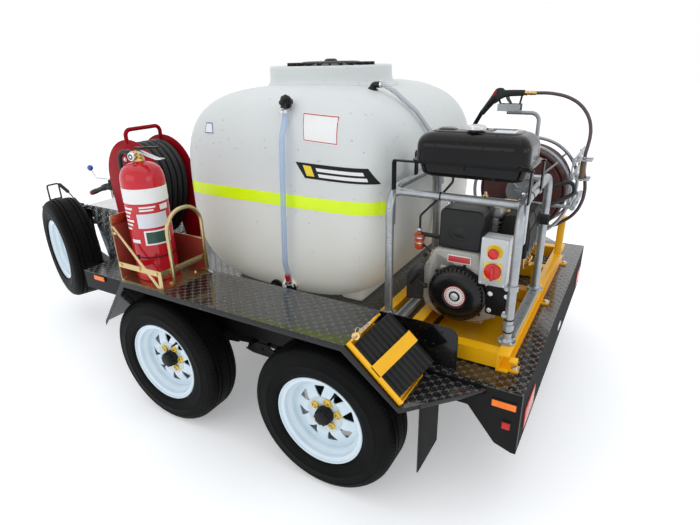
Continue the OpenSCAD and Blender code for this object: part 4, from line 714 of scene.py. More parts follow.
def rolled_on(name, corners, thick, across=2, along=24, lift=0.0003):
    """Thin sheet rolled onto the tank's left end; corners in millimetres, from lower front to upper front"""
    clear_pick()
    bpy.ops.mesh.primitive_grid_add(x_subdivisions=along, y_subdivisions=across, size=2)
    sheet = bpy.context.object
    sheet.name = name
    a, b, c, d = (Vector(p) for p in corners)
    for v in sheet.data.vertices:
        s, t = (v.co.x + 1) / 2, (v.co.y + 1) / 2
        x, z = (a * (1 - s) + b * s) * (1 - t) + (d * (1 - s) + c * s) * t
        v.co = left_wall(x, z, lift)
    skin = sheet.modifiers.new("skin", "SOLIDIFY")
    skin.thickness = thick
    skin.offset = 1
    bpy.ops.object.modifier_apply(modifier="skin")
    bpy.ops.object.shade_smooth_by_angle(angle=math.radians(40))
    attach(sheet, "trailer")
    return sheet


lime = coat_of("lime_reflective_tape", (0.70, 0.92, 0.0), (0.62, 0.84, 0.0), 0.30, patch=8,
               grain=350, bumps=0.25)
# Painted glow: the tape emits a little lime light of its own, standing in for its fluorescent brightness.
feed(shader_of(lime), {"Emission Color": (0.75, 1.0, 0.0, 1), "Emission Strength": 0.14})
band = paint(rolled_on("reflective_band", [(-1022, 1056), (66, 1056), (66, 1112), (-1012, 1112)],
                       0.0006, 3, 60), lime)
vinyl_black = coat_of("black_vinyl", (0.006, 0.006, 0.007), (0.010, 0.010, 0.010), 0.34, patch=14,
                      bumps=0.05, shine=0.2)
vinyl_white = coat_of("white_vinyl", (0.84, 0.84, 0.83), (0.80, 0.80, 0.79), 0.36, patch=14, bumps=0.05)
vinyl_yellow = coat_of("yellow_vinyl", (0.86, 0.66, 0.02), (0.80, 0.60, 0.02), 0.36, patch=14, bumps=0.05)
vinyl_blue = coat_of("blue_vinyl", (0.10, 0.17, 0.36), (0.13, 0.20, 0.40), 0.36, patch=14, bumps=0.05)
red_vinyl = coat_of("red_vinyl", (0.55, 0.03, 0.03), (0.48, 0.03, 0.03), 0.36, patch=14, bumps=0.05)
plate_rims = ([(-293, 1351), (-137, 1340.5), (-137.5, 1344), (-293.5, 1354.5)],
              [(-301.5, 1454.5), (-147, 1443), (-147.5, 1446.5), (-302, 1458)],
              [(-293, 1351), (-290, 1351), (-298.5, 1458), (-301.5, 1458)],
              [(-140, 1340.5), (-136.5, 1340.5), (-144.5, 1446.5), (-148, 1446.5)])
SHEET, FILM = (0.0005, 0.0003), (0.0004, 0.001)  # thickness and lift of a plate, and of what lies on it
for name, corners, (thick, lift), across, along, mat in (
        ("blank_plate_black", [(-294, 1194), (34, 1186), (-10, 1250), (-339, 1260)], SHEET, 3, 20,
         vinyl_black),
        ("plate_bar_yellow", [(-284, 1205), (-245, 1204), (-262, 1247), (-302, 1249)], FILM, 2, 6,
         vinyl_yellow),
        ("plate_bar_wide", [(-232, 1227), (-22, 1220), (-28, 1234), (-238, 1241)], FILM, 2, 12, vinyl_white),
        ("plate_bar_narrow", [(-222, 1203), (-8, 1197), (-13, 1211), (-228, 1217)], FILM, 2, 12, vinyl_white),
        ("blank_plate_white", [(-296, 1348), (-134, 1337), (-144, 1449), (-304, 1461)], SHEET, 5, 12,
         vinyl_white),
        *((f"plate_white_rim_{k}", rim, FILM, 4, 10, red_vinyl) for k, rim in enumerate(plate_rims)),
        ("blank_badge_blue", [(-860, 1352), (-800, 1352), (-806, 1400), (-850, 1400)], (0.0004, 0.0003), 4,
         8, vinyl_blue),
        ("blank_badge_face", [(-855, 1357), (-805, 1357), (-811, 1395), (-846, 1395)], (0.0004, 0.0009), 4, 8,
         vinyl_white)):
    paint(rolled_on(name, corners, thick, across, along, lift), mat)

# ---- Tank fittings: sight tube, breather and their elbows ----
# Black nylon bulkhead elbows with zinc worm clips; a clear blue-tinted tube shows the water
# level with a red float, and a braided clear hose breathes from the crown.


def rounded(points, bend, steps):
    """A route whose corners are replaced by arcs of the bend radius, all in millimetres"""
    route = [Vector(points[0])]
    for a, b, c in zip(points, points[1:], points[2:]):
        a, b, c = Vector(a), Vector(b), Vector(c)
        u, w = (b - a).normalized(), (c - b).normalized()
        turn = u.angle(w)
        if turn < 0.02:
            route.append(b)
            continue
        cut = min(bend * math.tan(turn / 2), (b - a).length * 0.49, (c - b).length * 0.49)
        reach = cut / math.tan(turn / 2)
        inward = (w - u * math.cos(turn)).normalized()
        middle = b - u * cut + inward * reach
        swings = [turn * i / steps for i in range(steps + 1)]
        route += [middle - inward * reach * math.cos(a) + u * reach * math.sin(a) for a in swings]
    route.append(Vector(points[-1]))
    return route


def tubing(name, points, radius, bend=0, sides=16, caps=True, steps=8):
    """Pipe, rod or hose of a radius in millimetres along a route, drawn as a round curve and made a mesh"""
    clear_pick()
    line = bpy.data.curves.new(name, "CURVE")
    line.dimensions = "3D"
    line.bevel_depth = radius / 1000
    line.bevel_resolution = max(sides // 4 - 1, 1)
    line.use_fill_caps = caps
    route = rounded(points, bend, steps) if bend else [Vector(p) for p in points]
    spline = line.splines.new("POLY")
    spline.points.add(len(route) - 1)
    for p, q in zip(spline.points, route):
        p.co = (*mm(*q), 1)
    pipe = bpy.data.objects.new(name, line)
    bpy.context.scene.collection.objects.link(pipe)
    pipe.select_set(True)
    bpy.context.view_layer.objects.active = pipe
    bpy.ops.object.convert(target="MESH")
    pipe = bpy.context.object
    bpy.ops.object.shade_smooth_by_angle(angle=math.radians(40))
    return pipe


def towards(place, direction):
    """Where a turned piece's foot stands, in millimetres, and which way its Z axis points"""
    return Matrix.Translation(mm(*place)) @ Vector(direction).to_track_quat("Z", "Y").to_matrix().to_4x4()


def turned_at(name, points, place, direction, steps=32, closed=False, smooth=32):
    return settle(turned(name, points, steps, closed, smooth), towards(place, direction))


def worm_clip(name, place, direction, radius):
    """Worm-drive hose clip: a band with its screw housing"""
    band = turned("band", [(radius - 0.5, -6), (radius + 1.2, -6), (radius + 1.2, 6), (radius - 0.5, 6)], 28)
    clear_pick()
    bpy.ops.mesh.primitive_cube_add(size=1, location=(0, (radius + 4.5) / 1000, 0),
                                    scale=(0.013, 0.008, 0.011))
    housing = bpy.context.object
    bpy.ops.object.transform_apply(location=True, rotation=True, scale=True)
    soften(housing, 0.0015)
    screw = turned("screw", [(0, -9), (3.4, -9), (3.4, 9), (0, 9)], 10, closed=False)
    settle(screw, Matrix.Translation((0, (radius + 5) / 1000, 0)) @ spun(90, "Y"))
    return settle(joined(name, [band, housing, screw]), towards(place, direction))


nylon = coat_of("black_nylon", (0.008, 0.008, 0.009), (0.015, 0.015, 0.015), 0.36, patch=30,
                bumps=0.2, shine=0.3)
bright_zinc = coat_of("bright_zinc", (0.72, 0.73, 0.75), (0.58, 0.59, 0.61), 0.26, metal=1.0,
                      patch=30, bumps=0.15)
stem_at = ((-406, -650, 655, 1), (-376, -640, 1500, -1))
parts = []
clips = []
for x, y, z, up in stem_at:
    parts.append(tubing("elbow", [(x, -600, z), (x, y - 6, z), (x, y - 6, z + up * 22)], 14.5, 16, 20))
    parts.append(turned_at("flange", [(0, 12), (20, 12), (21, 10), (21, 0), (30, -1), (30, -8), (0, -8)],
                           (x, y + 4, z), (0, -1, 0.0), 8, smooth=20))
    parts.append(turned_at("plug", [(0, 18), (8, 18), (10, 16), (10, 6), (15, 5), (15, 0), (0, 0)],
                           (x, y - 12, z), (0, -1, 0), 6, smooth=20))
    clips.append(worm_clip("clip", (x, y - 6, z + up * 36), (0, 0, 1), 14))
parts.append(turned_at("breather_base", [(0, 16), (24, 16), (25, 8), (34, 6), (36, 0), (34, -6), (0, -6)],
                       (-190, -215, 1515), (0.25, -0.1, 1), 28))
parts.append(tubing("breather_elbow", [(-190, -215, 1505), (-190, -215, 1548),
                                       (-150, -215, 1548)], 14, 16, 20))
parts.append(turned_at("breather_nut", [(0, 12), (19, 12), (20, 10), (20, 2), (19, 0), (0, 0)],
                       (-190, -215, 1526), (0, 0, 1), 6, smooth=20))
clips.append(worm_clip("clip", (-146, -215, 1548), (1, 0, 0), 12.4))
parts.append(turned_at("drain_spigot", [(0, 36), (15, 36), (15, 38), (18, 38), (19, 36), (19, 31), (18, 30),
                                        (18, 27), (19, 26), (19, 4), (21, 2), (21, -25), (0, -25)],
                       (-500, -652, 640), (0, -1, 0), 40))
parts.append(turned_at("drain_flange", [(0, 10), (33, 10), (35, 8), (35, 0), (0, 0)], (-500, -628, 640),
                       (0, -1, 0), 28))
fittings = paint(joined("tank_elbows", parts), nylon)
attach(fittings, "trailer")
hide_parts("tank_fittings")
clips = paint(joined("tank_hose_clips", clips), bright_zinc)
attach(clips, "trailer")

sight_mat = coat_of("blue_clear_tube", (0.56, 0.68, 0.86), (0.62, 0.72, 0.88), 0.16, patch=4, bumps=0.02)
feed(shader_of(sight_mat), {"Transmission Weight": 0.55, "IOR": 1.12})
sight = paint(tubing("sight_tube", [(-376, -640.5, 1474), (-376, -641, 1442), (-376, -676, 1360),
                                    (-391, -678, 1080), (-406, -676, 795), (-406, -651, 713),
                                    (-406, -650, 681)], 12.5, 110, 24, True, 12), sight_mat)
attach(sight, "trailer")
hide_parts("clear_hoses")
red_plastic = coat_of("red_plastic", (0.62, 0.02, 0.02), (0.52, 0.02, 0.02), 0.3, patch=30, bumps=0.1)
float_ball = paint(turned_at("level_float", [(0, 22), (7, 20), (12.8, 15), (12.8, -15), (7, -20), (0, -22)],
                             (-407, -661, 716), (0, -0.15, 1), 20), red_plastic)
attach(float_ball, "trailer")
braid = coat_of("braided_clear_hose", (0.80, 0.82, 0.84), (0.72, 0.74, 0.76), 0.25, patch=20, bumps=0.05)
tree = braid.node_tree
weave = [add_node(tree, "TexWave", {"Scale": 42, "Vector": where_on(braid)},
                  bands_direction=way).outputs["Fac"]
         for way in ("DIAGONAL", "Z")]
crossing = add_node(tree, "Math", {0: weave[0], 1: weave[1]}, operation="MULTIPLY")
threads = add_node(tree, "Mix", data_type="RGBA")
feed(threads, {"A": (0.36, 0.38, 0.42, 1), "B": (0.86, 0.88, 0.90, 1), "Factor": crossing.outputs[0]})
feed(shader_of(braid), {"Base Color": threads.outputs["Result"]})
breather = paint(tubing("breather_hose", [(-152, -215, 1548), (-132, -215, 1548), (-80, -212, 1520),
                                          (20, -190, 1434), (75, -150, 1345), (106, -75, 1250),
                                          (110, -60, 1090)], 11, 60, 20, True, 10), braid)
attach(breather, "trailer")
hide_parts("clear_hoses")

# ---- Tank lid: black moulded lid that lifts off the manhole ----
# Black polyethylene, moulded in one piece: 24 ribs on top, a stepped skirt round the neck, and
# a vent plug pressed into the middle.
lid = turned("tank_lid_dressed", [(0, 1650), (60, 1650.5), (120, 1650), (146, 1648), (152, 1644), (158, 1640),
                                  (184, 1636), (216, 1630), (226, 1626), (231, 1620), (232.5, 1612),
                                  (232.5, 1572), (231, 1569), (222, 1569), (221, 1572), (221, 1600),
                                  (218, 1601), (0, 1601)], 120, closed=False)
settle(lid, Matrix.Translation((NECK.x, 0, 0)))
ribs = []
for i in range(24):
    rib = block("rib", (-6, -5, 1628), (64, 5, 1645), 0.003)
    settle(rib, Matrix.Translation((NECK.x, 0, 0)) @ spun(15 * i, "Z")
           @ Matrix.Translation((0.162 - AXLE_X, 0, 0)))
    ribs.append(rib)
vent = turned("vent", [(0, 1662), (20, 1662), (28, 1659), (33, 1654), (34, 1646), (0, 1646)], 32,
              closed=False)
settle(vent, Matrix.Translation((NECK.x, 0, 0)))
lid = joined("tank_lid_dressed", [lid, vent, *ribs])
paint(lid, coat_of("lid_black", (0.008, 0.008, 0.009), (0.015, 0.015, 0.015), 0.40, patch=9, bumps=0.2,
                   drops=0.3, shine=0.3))
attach(lid, "tank_lid")
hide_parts("tank_lid")

# ---- Fire extinguisher: a painted steel cylinder with a brass head ----
# Drawn and welded steel, sprayed glossy red, with blank white and blank coloured bands of
# vinyl, a brass valve with its gauge and hose, a fixed carrying handle and a squeeze lever.
EXT = Vector((-935, -955, 0))


red_gloss = coat_of("red_gloss_paint", (0.58, 0.008, 0.022), (0.50, 0.006, 0.016), 0.12, patch=4,
                    bumps=0.03, shine=0.5)
bottle = turned_at("extinguisher_bottle", [(0, 748), (70, 744), (80, 744), (88, 746), (92, 752), (93, 760),
                                           (93, 1186), (92.4, 1200), (88, 1222), (78, 1243), (64, 1256),
                                           (46, 1264),
                                          (30, 1267), (24, 1270), (22, 1275), (0, 1275)], (EXT.x, EXT.y,
                                              0), (0, 0, 1), 96)
paint(bottle, red_gloss)


def wrap(name, z0, z1, a0, a1, radius, mat):
    """Vinyl wrapped part of the way round the bottle, from one compass angle to another"""
    clear_pick()
    bpy.ops.mesh.primitive_grid_add(x_subdivisions=max(int(abs(a1 - a0) / 5), 2), y_subdivisions=1, size=2)
    sheet = bpy.context.object
    sheet.name = name
    for v in sheet.data.vertices:
        a = math.radians(a0 + (a1 - a0) * (v.co.x + 1) / 2)
        v.co = mm(EXT.x + radius * math.cos(a), EXT.y + radius * math.sin(a),
                  z0 + (z1 - z0) * (v.co.y + 1) / 2)
    skin = sheet.modifiers.new("skin", "SOLIDIFY")
    skin.thickness = 0.0004
    skin.offset = 1
    bpy.ops.object.modifier_apply(modifier="skin")
    bpy.ops.object.shade_smooth_by_angle(angle=math.radians(40))
    return paint(sheet, mat)


vinyl_green = coat_of("dark_green_vinyl", (0.012, 0.055, 0.035), (0.02, 0.075, 0.05), 0.36,
                      patch=14, bumps=0.05)
vinyl_pale = coat_of("pale_vinyl", (0.70, 0.71, 0.76), (0.66, 0.67, 0.72), 0.36, patch=14, bumps=0.05)
wraps = [wrap("band_white", 1104, 1168, -180, 180, 93.5, vinyl_white),
         wrap("sheet_red_head", 1066, 1098, -88, 24, 93.6, red_vinyl),
         wrap("sheet_pale", 996, 1060, -70, 12, 93.6, vinyl_pale),
         wrap("tile_white", 918, 984, -58, 14, 93.6, vinyl_white),
         wrap("tile_dark", 925, 977, -53, 9, 94.2, vinyl_green),
         wrap("tile_corner", 1070, 1094, -6, 20, 94.2, vinyl_white),
         wrap("tag_low", 928, 944, -100, -72, 93.6, vinyl_white)]
for k in range(6):
    wraps.append(wrap(f"label_bar_{k}", 1078 - k * 18, 1087 - k * 18, -112, -80 - 6 * (k % 3), 94.1,
                      vinyl_white))
for k in range(2):
    wraps.append(wrap(f"head_bar_{k}", 1072 + k * 13, 1079 + k * 13, -60, -24 + 6 * k, 94.2, vinyl_white))
straps = [wrap("strap_low", 858, 864, -180, 180, 94.6, nylon)]
buckle = paint(block("strap_buckle", (-946, -1054, 852), (-926, -1048.5, 870), 0.002), nylon)

brass = coat_of("brass", (0.70, 0.48, 0.17), (0.58, 0.38, 0.14), 0.27, metal=1.0, patch=30, bumps=0.2)
head = [turned_at("valve_body", [(0, 1316), (14, 1316), (16, 1312), (16, 1300), (19, 1298), (20, 1290),
                                 (18, 1288), (23, 1284), (23, 1274), (0, 1272)], (EXT.x, EXT.y, 0),
                  (0, 0, 1), 24),
        turned_at("valve_outlet", [(0, 50), (10, 50), (10, 34), (12, 32), (12, 24), (9, 22), (9, 0), (0, 0)],
                  (EXT.x, EXT.y, 1296), (-1, 0, 0.13), 20),
        turned_at("gauge_neck", [(0, 24), (6, 24), (6, 0), (0, 0)], (EXT.x, EXT.y - 10, 1296),
                  (0.1, -1, 0), 16)]
head = paint(joined("extinguisher_valve", head), brass)
gauge = turned_at("gauge_case", [(0, 10), (16, 10), (18, 9), (19, 6), (19, 0), (17, -1), (0, -1)],
                  (EXT.x + 3, EXT.y - 33, 1296), (0.1, -1, 0), 28)
paint(gauge, bright_zinc)
dial = paint(turned_at("gauge_dial", [(0, 10.6), (15, 10.6), (15, 9.8), (0, 9.8)],
                       (EXT.x + 3, EXT.y - 33, 1296), (0.1, -1, 0), 24), vinyl_white)
needle = paint(turned_at("gauge_green_arc", [(6, 11), (12, 11), (12, 10.4), (6, 10.4)],
                         (EXT.x + 3, EXT.y - 33, 1296), (0.1, -1, 0), 24), vinyl_green)


def bar_of(name, outline, y0, y1, edge=0.001, segments=2):
    """Flat outline in X and Z, in millimetres, thickened along Y"""
    low, high = sorted((y0, y1))
    piece = outline_ring([(x / 1000 + AXLE_X, z / 1000) for x, z in outline])
    piece.name = name
    settle(piece, Matrix.Translation((0, low / 1000, 0)))
    drawn_out(piece, (high - low) / 1000)
    if edge:
        soften(piece, edge, segments)
    return piece


handle = bar_of("extinguisher_handle", [(-943, 1306), (-913, 1306), (-815, 1286), (-785, 1290), (-785, 1294),
                                        (-815, 1293), (-913, 1316), (-943, 1316)], -966, -944)
paint(handle, bright_zinc)
for piece, finish_slot in ((bottle, "red_paint"), (head, "gold_zinc"), (gauge, "zinc_plate"),
                           (dial, "white_paint"), (needle, "white_paint"), (handle, "zinc_plate"),
                           (buckle, "black_plastic"),
                           *((w, "white_paint") for w in wraps), *((w, "black_plastic") for w in straps)):
    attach(piece, "trailer")
    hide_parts("extinguisher")
lever = bar_of("extinguisher_squeeze_lever", [(-943, 1321.5), (-913, 1321.5), (-860, 1329), (-807, 1334),
                                              (-805, 1340), (-860, 1338), (-915, 1331.5),
                                              (-943, 1331.5)], -965, -945)
paint(lever, black_satin)
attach(lever, "extinguisher_lever")
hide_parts("extinguisher_lever")
hose_black = coat_of("black_hose_rubber", (0.007, 0.007, 0.008), (0.014, 0.014, 0.014), 0.38, patch=16,
                     bumps=0.25, shine=0.35)
hose = tubing("extinguisher_hose_dressed", [(-981.4, -955, 1301), (-1060, -955, 1307), (-1057, -965, 1144),
                                            (-1056, -969, 854)], 10, 46, 20)
horn = turned_at("discharge_horn", [(0, 0), (13, 0), (15, 3), (12, 60), (12, 96), (0, 96)],
                 (-1056, -969, 848), (-0.03, 0.01, 1), 20)
crimp = turned_at("hose_crimp", [(0, 0), (13, 0), (13.5, 2), (13.5, 22), (13, 24), (0, 24)],
                  (-981, -955, 1301), (-1, 0, 0.08), 20)
hose = paint(joined("extinguisher_hose_dressed", [hose, horn, crimp]), hose_black)
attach(hose, "trailer")
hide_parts("extinguisher_hose")

# ---- Extinguisher bracket: folded tray with a hoop ----
# Sheet steel, folded, welded and gold zinc plated, with red-brown sheets on the inner faces of its back and
# left walls, next to the red bottle; pink-and-green plating colours drift over the flats.
gold_sheet = coat_of("gold_zinc_sheet", (0.62, 0.47, 0.20), (0.50, 0.42, 0.26), 0.30, metal=1.0, patch=9,
                     bumps=0.2, spread=0.9)
dress("extinguisher_bracket", gold_sheet, 0.001)
# The red-brown lining sits on the tray's inner walls where they face the red bottle.
red_brown_lining = coat_of("red_brown_wall_lining", (0.26, 0.035, 0.022), (0.20, 0.03, 0.02), 0.35, patch=7, bumps=0.2)
inner_wall = paint(bar_of("bracket_red_lining", [(-1036.5, 750), (-764, 750), (-764, 900), (-1036.5, 900)],
                          -816.5, -815.2, 0.0004), red_brown_lining)
side_wall = paint(block("bracket_side_lining", (-1036.9, -1074, 748), (-1035.7, -818, 1000), 0.0003), red_brown_lining)
FLOOR_BOLT = [(0, 7), (7, 7), (8, 6), (8, 1.6), (11, 1.5), (11, 0), (0, 0)]
RAIL_BOLT = [(0, 6), (6, 6), (7, 5), (7, 1.6), (9, 1.5), (9, 0), (0, 0)]
bolts = [turned_at("bolt", FLOOR_BOLT, (x, y, 744), (0, 0, 1), 6, smooth=20) for x in (-1020, -800)
         for y in (-1000, -860)]
bolts += [turned_at("bolt", RAIL_BOLT, (x, -1080, z), (0, -1, 0), 6, smooth=20)
          for x, z in ((-1018, 970), (-900, 819), (-790, 819), (-1022, 819))]
bracket_bolts = paint(joined("bracket_bolts", bolts), gold_plate)
for piece, finish_slot in ((inner_wall, "red_paint"), (side_wall, "red_paint"), (bracket_bolts, "gold_zinc")):
    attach(piece, "trailer")

# ---- Hose hanger: two red plates with a half-round saddle and a tube handle ----
# Laser-cut steel sheet with a welded saddle and zinc bolts, powder coated red; the near plate
# is whole, the far one open.
red_coat = coat_of("hanger_red_powder", (0.32, 0.003, 0.010), (0.27, 0.002, 0.008), 0.34, patch=6,
                   bumps=0.12, shine=0.08)
dress("hose_hanger", red_coat, 0.001)
PLATE_BOLT = [(0, 7), (8, 7), (9, 6), (9, 2), (13, 1.8), (13, 0), (0, 0)]
hanger_bolts = [turned_at("bolt", PLATE_BOLT, (x, -564, z), (0, -1, 0), 6, smooth=20)
                for x, z in ((-1560, 1165), (-1450, 1165), (-1510, 980), (-1690, 640), (-1340, 640))]
hanger_bolts = paint(joined("hanger_bolts", hanger_bolts), bright_zinc)
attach(hanger_bolts, "trailer")

# ---- Fill hose: five long loops of black delivery hose over the saddle ----
# 38 mm smooth-bore rubber hose with a wrapped, faintly ribbed cover; each loop hangs from the
# saddle to just above the deck.
SADDLE = (-1510, 1053)
LOOP_RADIUS, LOOP_NARROWING, LOOP_DROP, LOOP_PITCH = 182, 34, 335, 40
hose_path = []
turns, per_turn = 5, 48
for i in range(10, turns * per_turn - 9):
    u = i / per_turn
    s, c = math.sin(math.tau * u - math.pi / 2), math.cos(math.tau * u - math.pi / 2)
    reach = LOOP_RADIUS if s >= 0 else LOOP_RADIUS - LOOP_NARROWING * s * s
    rise = LOOP_RADIUS * s if s >= 0 else LOOP_DROP * s
    hose_path.append((SADDLE[0] + reach * c, -445 + LOOP_PITCH * (u - turns / 2), SADDLE[1] + rise))
wrapped_rubber = coat_of("wrapped_hose_rubber", (0.007, 0.007, 0.008), (0.014, 0.014, 0.015), 0.40, patch=14,
                         grain=260, bumps=0.5, shine=0.35)
fill_hose = paint(tubing("fill_hose_dressed", hose_path, 19, 0, 20), wrapped_rubber)
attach(fill_hose, "trailer")
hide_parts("fill_hose")
cuffs = []
for at_end, nxt in ((hose_path[0], hose_path[3]), (hose_path[-1], hose_path[-4])):
    away = Vector(nxt) - Vector(at_end)
    cuffs.append(turned_at("cuff", [(0, -6), (17, -6), (21.5, -4), (21.5, 26), (20, 28), (0, 28)],
                           at_end, away, 24))
    cuffs.append(worm_clip("clip", tuple(Vector(at_end) + away.normalized() * 14), away, 21.6))
cuffs = paint(joined("fill_hose_cuffs", cuffs), bright_zinc)
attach(cuffs, "trailer")

# ---- Ball valve and nozzle on the hanger's front edge ----
# Black nylon valve body clipped to the plate, with a tapered nozzle that ends in a red ring;
# its lever is a chromed steel rod with a blue phenolic ball.
V = Vector((-1768, -545, 985))
slant = (-math.sin(math.radians(109)), 0, math.cos(math.radians(109)))
valve_parts = [block("valve_clip", (-1742, -560, 940), (-1724, -530, 1045), 0.003),
               turned_at("valve_barrel", [(0, -28), (16, -28), (19, -25), (19, -12), (22, -10), (22, 10),
                                          (19, 12), (19, 25), (16, 28), (0, 28)], tuple(V), (1, 0, 0), 28),
               turned_at("valve_neck", [(0, 41), (10, 41), (11, 38), (11, 20), (13, 19), (13, 10), (0, 10)],
                         tuple(V), (0, 0, 1), 24),
               turned_at("nozzle_nut", [(0, 0), (19, 0), (21, 3), (21, 39), (19, 42), (0, 42)],
                         (V.x - 28, V.y, V.z), slant, 6, smooth=20),
               turned_at("nozzle_body", [(0, 42), (17, 42), (18, 46), (15, 60), (14, 120), (16, 126),
                                         (16, 160), (11, 164), (11, 184), (9, 186), (0, 186)],
                         (V.x - 28, V.y, V.z), slant, 28)]
valve_body = paint(joined("hose_valve_dressed", valve_parts), nylon)
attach(valve_body, "trailer")
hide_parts("hose_valve")
tip_ring = paint(turned_at("nozzle_tip", [(11.3, 166), (14.5, 166), (15, 168), (15, 182), (14, 184),
                                          (11.3, 184)], (V.x - 28, V.y, V.z), slant, 28), red_plastic)
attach(tip_ring, "trailer")
chrome = coat_of("chrome_rod", (0.80, 0.81, 0.83), (0.72, 0.73, 0.75), 0.10, metal=1.0, patch=20, bumps=0.03)
q = V + Vector((0, 0, 41.4))
lever_parts = [turned_at("lever_boss", [(0, 8), (12, 8), (14, 6), (14, 0), (0, 0)], tuple(q), (0, 0, 1),
                         6, smooth=20),
               tubing("lever_rod", [tuple(q + Vector((-8, 0, 4))), tuple(q + Vector((-122, 0, 0))),
                                    tuple(q + Vector((-136, -15, 50)))], 4.5, 16, 16)]
valve_rod = paint(joined("valve_lever_rod", lever_parts), chrome)
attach(valve_rod, "valve_lever")
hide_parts("valve_lever")
blue_ball = turned_at("valve_ball_knob", [(0, 17)] + [(17 * math.sin(math.radians(a)),
                                                       17 * math.cos(math.radians(a)))
                                                      for a in range(12, 160, 12)] + [(6, -17), (0, -17)],
                      tuple(q + Vector((-137, -16, 62))), (0, -0.1, 1), 28)
paint(blue_ball, coat_of("blue_phenolic", (0.03, 0.10, 0.42), (0.02, 0.08, 0.34), 0.14, patch=40,
                         bumps=0.03, clear=0.4))
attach(blue_ball, "valve_lever")
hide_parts("valve_lever")

# ---- Wheel chocks: two ribbed rubber wedges in a yellow holder on the guard's slope ----
# Moulded black rubber with deep ribs on the rising face. The holder is folded sheet, powder
# coated yellow, with a broad strap over both wedges and a bent bar held by a pin and ring.
slope_along = Vector((211, 0, -188)).normalized()
slope_off = Vector((188, 0, 211)).normalized()
ON_SLOPE = Matrix((slope_along, (0, 1, 0), slope_off)).transposed().to_4x4()
ON_SLOPE = Matrix.Translation(mm(149, 0, 740)) @ ON_SLOPE


def across_slope(name, outline, x0, x1, edge=0.001, segments=2):
    """Outline drawn across the slope in Y and height, in millimetres, thickened down the slope"""
    piece = outline_ring([(y / 1000, z / 1000) for y, z in outline])
    piece.name = name
    bpy.ops.object.mode_set(mode="EDIT")
    bpy.ops.mesh.select_all(action="SELECT")
    bpy.ops.mesh.edge_face_add()
    bpy.ops.mesh.extrude_region_move(TRANSFORM_OT_translate={"value": (0, (x1 - x0) / 1000, 0)})
    bpy.ops.object.mode_set(mode="OBJECT")
    piece.data.transform(Matrix(((0, 1, 0, x0 / 1000), (1, 0, 0, 0), (0, 0, 1, 0), (0, 0, 0, 1))))
    bpy.ops.object.mode_set(mode="EDIT")
    bpy.ops.mesh.select_all(action="SELECT")
    bpy.ops.mesh.normals_make_consistent(inside=False)
    bpy.ops.object.mode_set(mode="OBJECT")
    if edge:
        soften(piece, edge, segments)
    return settle(piece, ON_SLOPE)


def face_at(t, sunk):
    return (-1079 + 175 * t + 0.44 * sunk, 20 + 86 * t - 0.9 * sunk)


wedges = []
for x0 in (22, 144):
    outline = [(-1079, 5.3)]
    for i in range(9):
        outline += [face_at((i + q) / 9, d) for q, d in ((0.04, 1.2), (0.12, 0), (0.50, 0), (0.58, 1.2),
                                                         (0.66, 6.5), (0.92, 6.5))]
    outline += [(-904, 106), (-895, 101), (-894, 96), (-894, 5.3)]
    wedges.append(across_slope("wedge", outline, x0, x0 + 116, 0.0008, 1))
wedge_pair = joined("wheel_chock_pair", wedges)
paint(wedge_pair, coat_of("chock_rubber", (0.010, 0.010, 0.011), (0.019, 0.019, 0.018), 0.46, patch=12,
                          grain=300, bumps=0.4, shine=0.2))
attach(wedge_pair, "trailer")
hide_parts("wheel_chocks")


def slope_block(low, high, edge=0.0012):
    a, b = Vector(low) / 1000, Vector(high) / 1000
    clear_pick()
    bpy.ops.mesh.primitive_cube_add(size=1, location=(a + b) / 2, scale=(b - a))
    bpy.ops.object.transform_apply(location=True, rotation=True, scale=True)
    piece = bpy.context.object
    soften(piece, edge)
    return settle(piece, ON_SLOPE)


def slope_point(x, y, z):
    """A place on the slope's own axes as millimetres from the rear axle"""
    p = ON_SLOPE @ (Vector((x, y, z)) / 1000)
    return ((p.x - AXLE_X) * 1000, p.y * 1000, p.z * 1000)


strap = [(-1085, 20), (-1081, 20), (-1081, 24), (-904, 110), (-891, 102), (-893, 4), (-889, 4), (-886, 104),
         (-902, 114), (-1080, 29), (-1085, 29)]
frame_bits = [slope_block((2, -1085, 0.2), (280, -889, 5)), slope_block((2, -1085, 0.2), (280, -1081.5, 28)),
              slope_block((276, -1084, 4), (280, -889, 18)), slope_block((2, -1084, 4), (7, -889, 40)),
              across_slope("strap", strap, 117, 165, 0.0012)]
frame_bits.append(tubing("bar", [slope_point(4, -1083, 52), slope_point(4, -1060, 52),
                                 slope_point(4, -1020, 60), slope_point(4, -930, 60),
                                 slope_point(4, -905, 52), slope_point(4, -900, 20)], 6, 18, 16))
for y in (-1083, -900):
    frame_bits.append(slope_block((0, y - 4, 36), (9, y + 4, 62), 0.002))
holder = joined("chock_holder_dressed", frame_bits)
yellow_powder = coat_of("yellow_powder_coat", (0.96, 0.50, 0.005), (0.90, 0.45, 0.004), 0.24, patch=8,
                        bumps=0.1, clear=0.1, shine=0.35)
paint(holder, yellow_powder)
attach(holder, "trailer")
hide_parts("chock_holder")
pins = [turned_at("pin", [(0, 26), (5, 26), (6, 24), (6, -14), (5, -16), (0, -16)], slope_point(4, -1083, 52),
                  (0.4, -0.5, 0.8), 16),
        turned_at("washer", [(7, 3), (14, 3), (14, 0), (7, 0)], slope_point(4, -1083, 60),
                  (0.4, -0.5, 0.8), 24)]
ring = turned("ring", [(16 + 1.6 * math.cos(math.radians(a)), 1.6 * math.sin(math.radians(a)))
                       for a in range(0, 360, 45)], 28)
pins.append(settle(ring, Matrix.Translation(mm(*slope_point(-2, -1064, 66))) @ spun(70, "Y")))
chain = []
for i in range(7):
    link = turned("link", [(6 + 1.3 * math.cos(math.radians(a)), 1.3 * math.sin(math.radians(a)))
                           for a in range(0, 360, 60)], 14)
    link_spot = slope_point(i * 0.4, -1052 + i * 9.5, 64 + (i - 3) ** 2 * 0.8)
    settle(link, Matrix.Translation(mm(*link_spot)) @ spun(90 if i % 2 else 20, "Y")
           @ Matrix.Scale(1.35, 4, (0, 1, 0)))
    chain.append(link)
pins = paint(joined("chock_pin_and_ring", pins), gold_plate)
